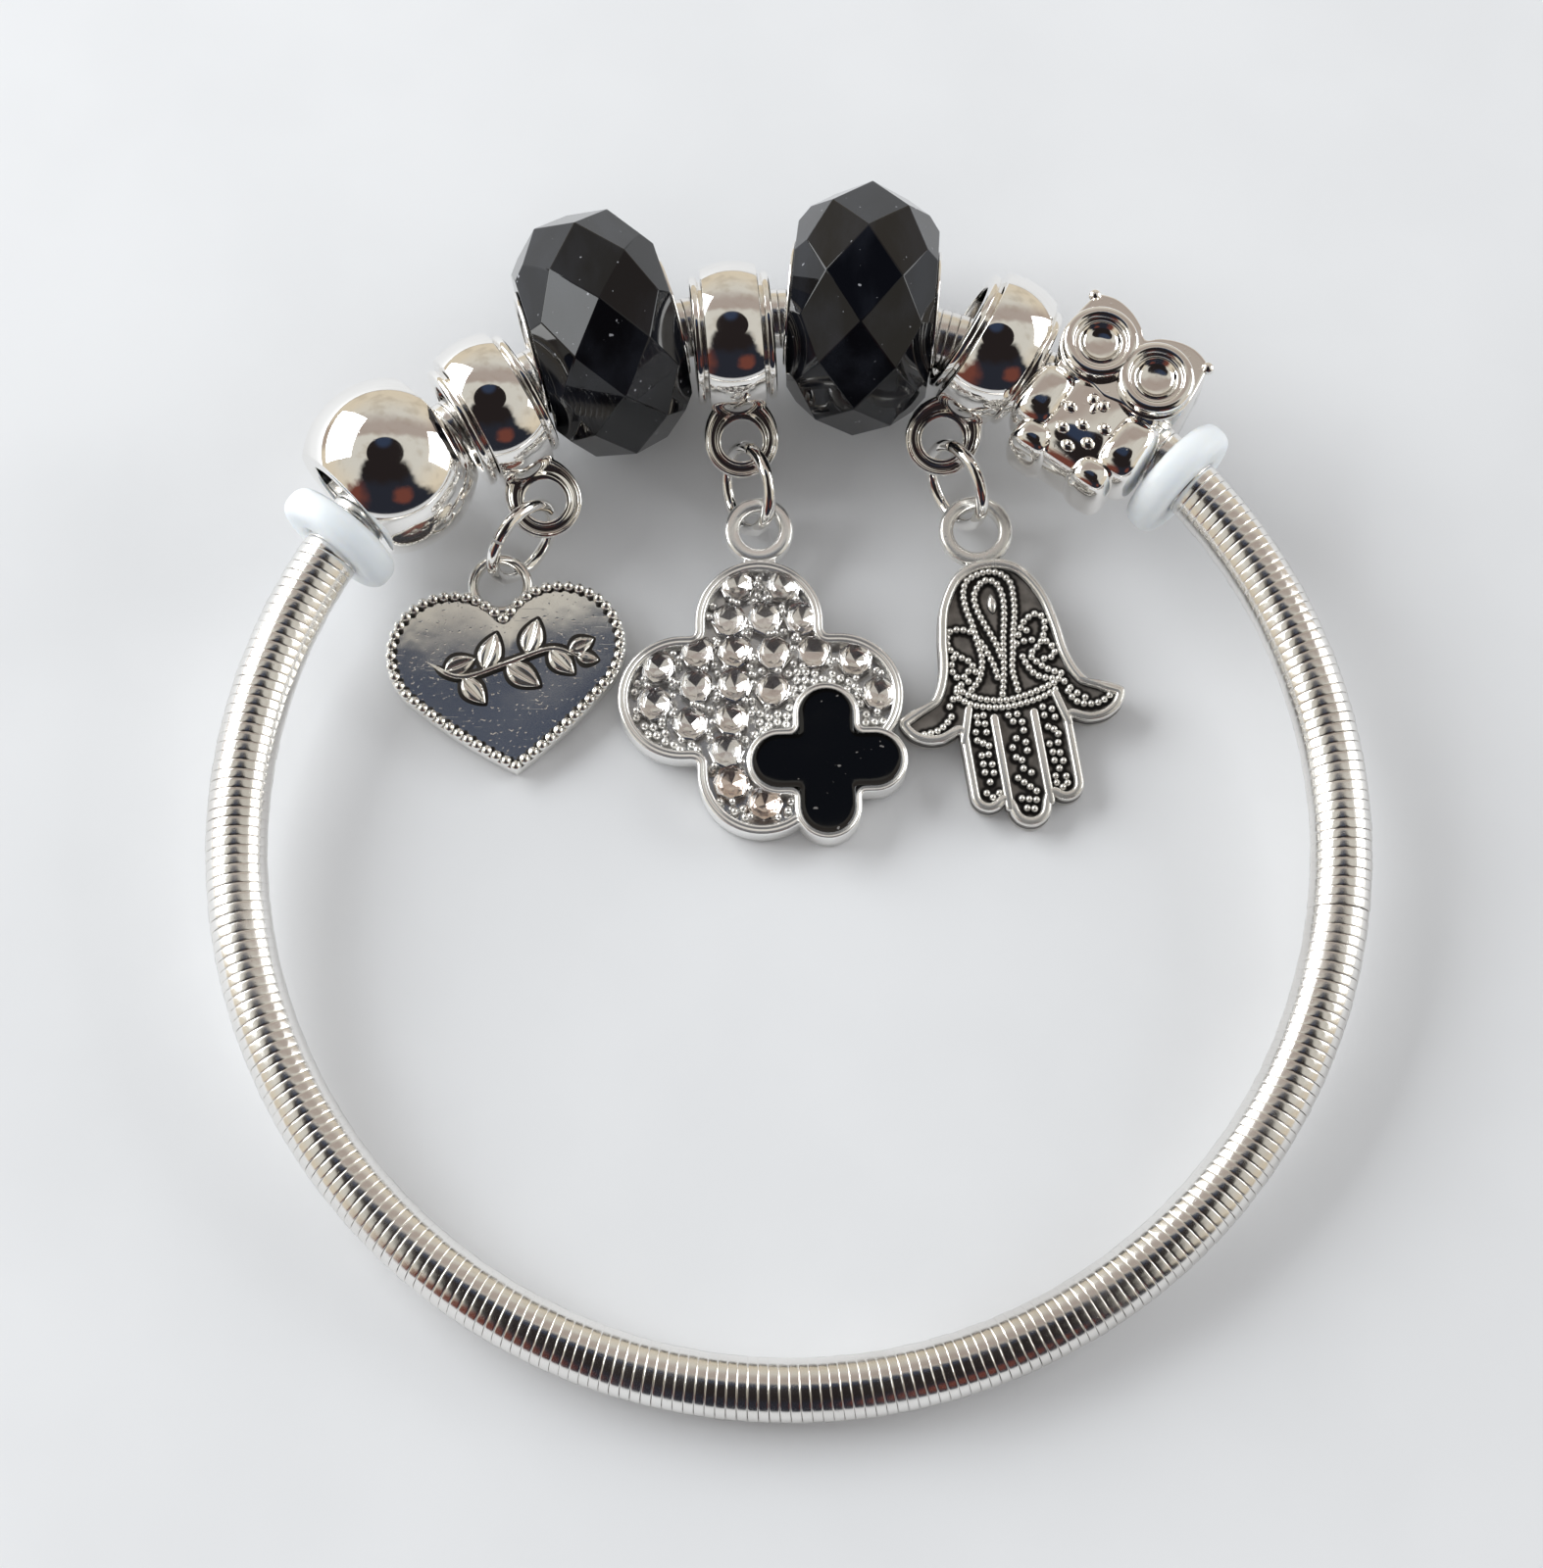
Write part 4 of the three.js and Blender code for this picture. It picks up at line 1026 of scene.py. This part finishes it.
hand_axis, hand_rim, hand_field = 0.2, 0.62, 0.22
grain_size, grain_step, grain_clear = 0.215, 0.35, 0.28
hand_middle = (hand_axis, -8.3)
hand_strands = [  # the lines of scrollwork on the palm, each a row of grains
    [(-1.9, -9.4), (-1.4, -8.9), (-1.1, -8.2), (-1, -7.5), (-1.1, -6.6), (-1.2, -5.6),
     (-1.4, -4.6), (-1.4, -3.7), (-1.1, -3), (-0.5, -2.7), (0.3, -2.6), (1, -2.9), (1.4, -3.5),
     (1.4, -4.4), (1.3, -5.3), (1, -6.5), (0.8, -7.6), (0.6, -8.6), (0.7, -9.8)],
    [(0.1, -7.7), (-0.1, -6.8), (-0.5, -5.7), (-0.8, -4.7), (-0.8, -3.9), (-0.4, -3.3),
     (0.1, -3.1), (0.6, -3.4), (0.8, -4.2), (0.7, -5.3), (0.4, -6.7), (0.2, -8), (0, -9.1),
     (-0.2, -9.9)],
    [(-1.1, -6.4), (-0.8, -6.9), (-0.6, -7.5), (-0.4, -8.2), (-0.3, -8.9)],
    [(1.5, -6.2), (1.8, -5.8), (2.4, -5.5), (2.8, -5.7), (2.9, -6.2), (2.7, -6.8), (2.4, -7.3),
     (1.9, -7.7)],
    [(1.3, -7.9), (1.5, -8.5), (1.9, -9.1), (2.6, -9.4), (3.1, -9.5)],
    [(1.8, -8), (2.2, -8.5), (2.7, -8.9), (3.3, -9.2)],
    [(2.8, -7.2), (3.1, -7.6), (3.1, -8.1), (2.5, -8.2)],
    [(-2.7, -9.2), (-2.1, -9.7), (-1.2, -10.1), (-0.1, -10.3), (0.9, -10.2), (1.8, -10),
     (2.8, -9.7)],
    [(-2.7, -9.8), (-2, -10.3), (-1, -10.6), (0, -10.7), (1.1, -10.6), (2.1, -10.4), (2.8, -10.1)],
    [(-1.4, -6), (-1.9, -5.8), (-2.5, -5.8), (-2.8, -6.3), (-2.7, -6.9), (-2.2, -7.4),
     (-1.7, -7.8), (-1.5, -8.4)],
    [(-2.6, -7.4), (-2.8, -7.9), (-2.7, -8.5), (-2.2, -8.6), (-1.9, -8.3)],
    [(-3.3, -10.2), (-2.9, -9.6), (-2.4, -9), (-2, -8.9)],
    [(1.1, -7.1), (1.6, -7), (2, -7)],
    [(1.3, -6.6), (1.8, -6.4)],
    [(-3.3, -10.8), (-3.7, -11.2), (-4.2, -11.5), (-5, -11.6)],
    [(3.4, -9.7), (3.8, -10.3), (4.4, -10.8)],
    [(3.5, -10.3), (3.8, -10.9), (4.4, -11.2), (5.2, -11.2), (5.8, -10.9)]]
finger_grains = [  # the loose grains down the three fingers
    (-1.9, -11), (-1.5, -11), (-1.9, -11.4), (-1.5, -11.5), (-2.1, -11.9), (-1.5, -12),
    (-2.1, -12.4), (-1.8, -12.6), (-1.5, -12.8), (-2, -13.3), (-1.6, -13.3), (-2, -13.8),
    (-1.5, -13.9), (-2, -14.3), (-1.5, -14.4), (-1.8, -14.9), (-2.1, -15.5), (-1.8, -15.8),
    (-1.4, -15.6), (-0.1, -11.2), (0.4, -11.2), (0.1, -11.6), (0.6, -11.7), (0.6, -12.2),
    (0.1, -12.6), (0.6, -12.9), (-0.2, -13.1), (0.6, -13.4), (-0.1, -13.7), (0.2, -13.9),
    (0.2, -14.4), (0.6, -14.7), (-0.2, -14.9), (0.1, -15.2), (0.4, -15.5), (0.7, -15.8),
    (-0.2, -16.1), (0.2, -16.2), (0.6, -16.3), (0, -16.7), (0.4, -16.8), (1.9, -11), (2.4, -11.2),
    (1.9, -11.5), (2.5, -11.7), (2, -12.2), (2.3, -12.4), (2.5, -12.7), (1.9, -13.2),
    (2.4, -13.2), (2, -13.7), (2.4, -13.8), (2, -14.2), (2.5, -14.3), (2.2, -14.7), (1.9, -15.1),
    (2.5, -15.2), (1.9, -15.5), (2.2, -15.8), (2.5, -15.6)]


def hand_outline():
    """An arched palm, two thumbs that curl outwards, and three round-ended fingers."""
    palm = smooth_line([(-1.8, -2.4), (0, -1.84), (1.8, -2.4), (3, -4.1), (3.5, -6.1), (3.75, -8),
                        (4.3, -9.4), (5.15, -10.15), (6.0, -10.3), (6.45, -10.55)], 240)
    palm = palm[palm[:, 0] >= 0]
    thumb = smooth_line([(6.0, -10.3), (6.45, -10.55), (6.45, -11.05), (6.0, -11.75),
                         (5.2, -12.2), (4.3, -12.3), (3.65, -12.1), (3.25, -11.9)], 90)[12:]
    outer = np.linspace(0, -0.78 * pi, 40)
    finger = np.stack([2.2 + 1.05 * np.cos(outer), -15.6 + 1.05 * np.sin(outer)], -1)
    bottom = np.linspace(-0.06, -pi / 2, 30)
    tip = np.stack([1.22 * np.cos(bottom), -16.6 + 1.22 * np.sin(bottom)], -1)
    right = np.vstack([palm, thumb[1:], finger, tip])
    return evenly(np.vstack([right, right[-2:0:-1] * (-1, 1)]), 560) + (hand_axis, 0)


def rounded_bar(start, end, width, low, high):
    """A bar with round ends that stands up from the ground: a long narrow outline with its
    upper edge rounded over."""
    start, end = np.asarray(start, float), np.asarray(end, float)
    length = np.linalg.norm(end - start)
    way = (end - start) / length
    cross = np.array([-way[1], way[0]])
    turn = np.linspace(-pi / 2, pi / 2, 10)[:, None]
    cap = np.sin(turn) * cross + np.cos(turn) * way
    back = -np.cos(turn[::-1]) * way + np.sin(turn[::-1]) * cross
    outline = np.vstack([end + cap * width / 2, start + back * width / 2])
    middle = start + np.clip((outline - start) @ way, 0, length)[:, None] * way
    bend, round_over = np.linspace(0, pi / 2, 5), width * 0.3
    shrink = 1 - (1 - np.cos(bend))[:, None, None] * 0.55
    flat = np.concatenate([outline[None], middle + (outline - middle) * shrink])
    height = np.concatenate([[low], high - round_over + round_over * np.sin(bend)])
    return skin(raised(flat, height[:, None]))


def rubbed_silver():
    """Blackened silver rubbed bright on its high places. The relief attribute says how high
    a point is in the casting; grime and rubbing waver along the edge between the two."""
    finish, tree = new_finish("rubbed_silver", Metallic=0.75)
    high = add_node(tree, "Attribute", attribute_name="relief").outputs["Fac"]
    wander = graded(tree, grained(tree, 1500.0, 3.0), 0.2, 0.8, -0.07, 0.07)
    rubbed = graded(tree, worked_out(tree, "ADD", high, wander), 0.3, 0.47)
    marks = handled(tree, 6500.0, 1.0)
    bright = blended(tree, marks["Dull"], (0.87, 0.855, 0.82), (0.7, 0.68, 0.64))
    open_ground = worked_out(tree, "MULTIPLY", graded(tree, high, 0.0, 0.12),
                             graded(tree, high, 0.2, 0.32, 1.0, 0.0))
    grime = graded(tree, grained(tree, 900.0, 3.0), 0.3, 0.7, 0.5, 1.0)
    open_ground = worked_out(tree, "MULTIPLY", open_ground, grime)
    ground = blended(tree, open_ground, (0.022, 0.02, 0.019), (0.3, 0.28, 0.26))
    outside = blended(tree, graded(tree, high, -0.3, -0.1), (0.62, 0.6, 0.57), ground)
    smear = graded(tree, marks["Smear"], 0.0, 1.4, 0.2, 0.36)
    rough = add_node(tree, "Mix", {0: rubbed, 2: 0.42, 3: smear}, data_type="FLOAT").outputs[0]
    return fitted(finish, blended(tree, rubbed, outside, bright), rough, marks["Height"], 0.004)


hand_plate = carried(hand_outline(), hand_middle, charm_back + [
    (0, 0.45), (0.03, 0.56), (0.1, 0.65), (0.18, 0.69), (0.38, 0.7), (0.46, 0.67), (0.52, 0.58),
    (0.56, 0.45), (hand_rim - 0.03, hand_field + 0.05), (hand_rim, hand_field)], 60)
spots = []
for strand in hand_strands:
    length = np.linalg.norm(np.diff(strand, axis=0), axis=1).sum()
    spots.append(smooth_line(strand, max(2, round(length / grain_step))))
spots = np.vstack(spots + [np.array(finger_grains)])
shells = [hand_plate, grains(spots, height=0.36, size=grain_size, sides=10, arcs=6, flatten=1.1)]
for start, end, width in (((hand_axis - 1.14, -11.3), (hand_axis - 1.16, -16.5), 0.5),
                          ((hand_axis + 1.14, -11.3), (hand_axis + 1.16, -16.5), 0.5),
                          ((-2.3, -10.6), (-2.85, -12.4), 0.46),
                          ((2.75, -10.4), (3.2, -12.2), 0.46)):
    shells.append(rounded_bar(start, end, width, low=0, high=0.7))
shells.append(leaf((0.1, -5.1), (0.15, -3.9), width=0.6, base=0.25, rise=0.3))
shells += hanging_ring(outer=2.13, hole=1.3, thick=0.9, neck_end=2.3)

# A point's own height is its relief. The ground sinks into black beside the grains, the
# grains are rubbed brighter than their height, and the ring and its neck are bright all over.
relief = [points[:, 2].copy() for points, _ in shells]
ground = (relief[0] < hand_field + 0.01) & (relief[0] > 0)
off_grains = np.linalg.norm(hand_plate[0][ground, None, :2] - spots, axis=-1).min(1)
relief[0][ground] = hand_field - 0.25 + 0.2 * np.clip((off_grains - grain_clear) / 0.3, 0, 1)
relief[1] += 0.12
relief[-2] += 1
relief[-1] += 1
make_piece("hamsa", hung("hamsa", shells), rubbed_silver(), "hamsa_charm",
           relief=relief)
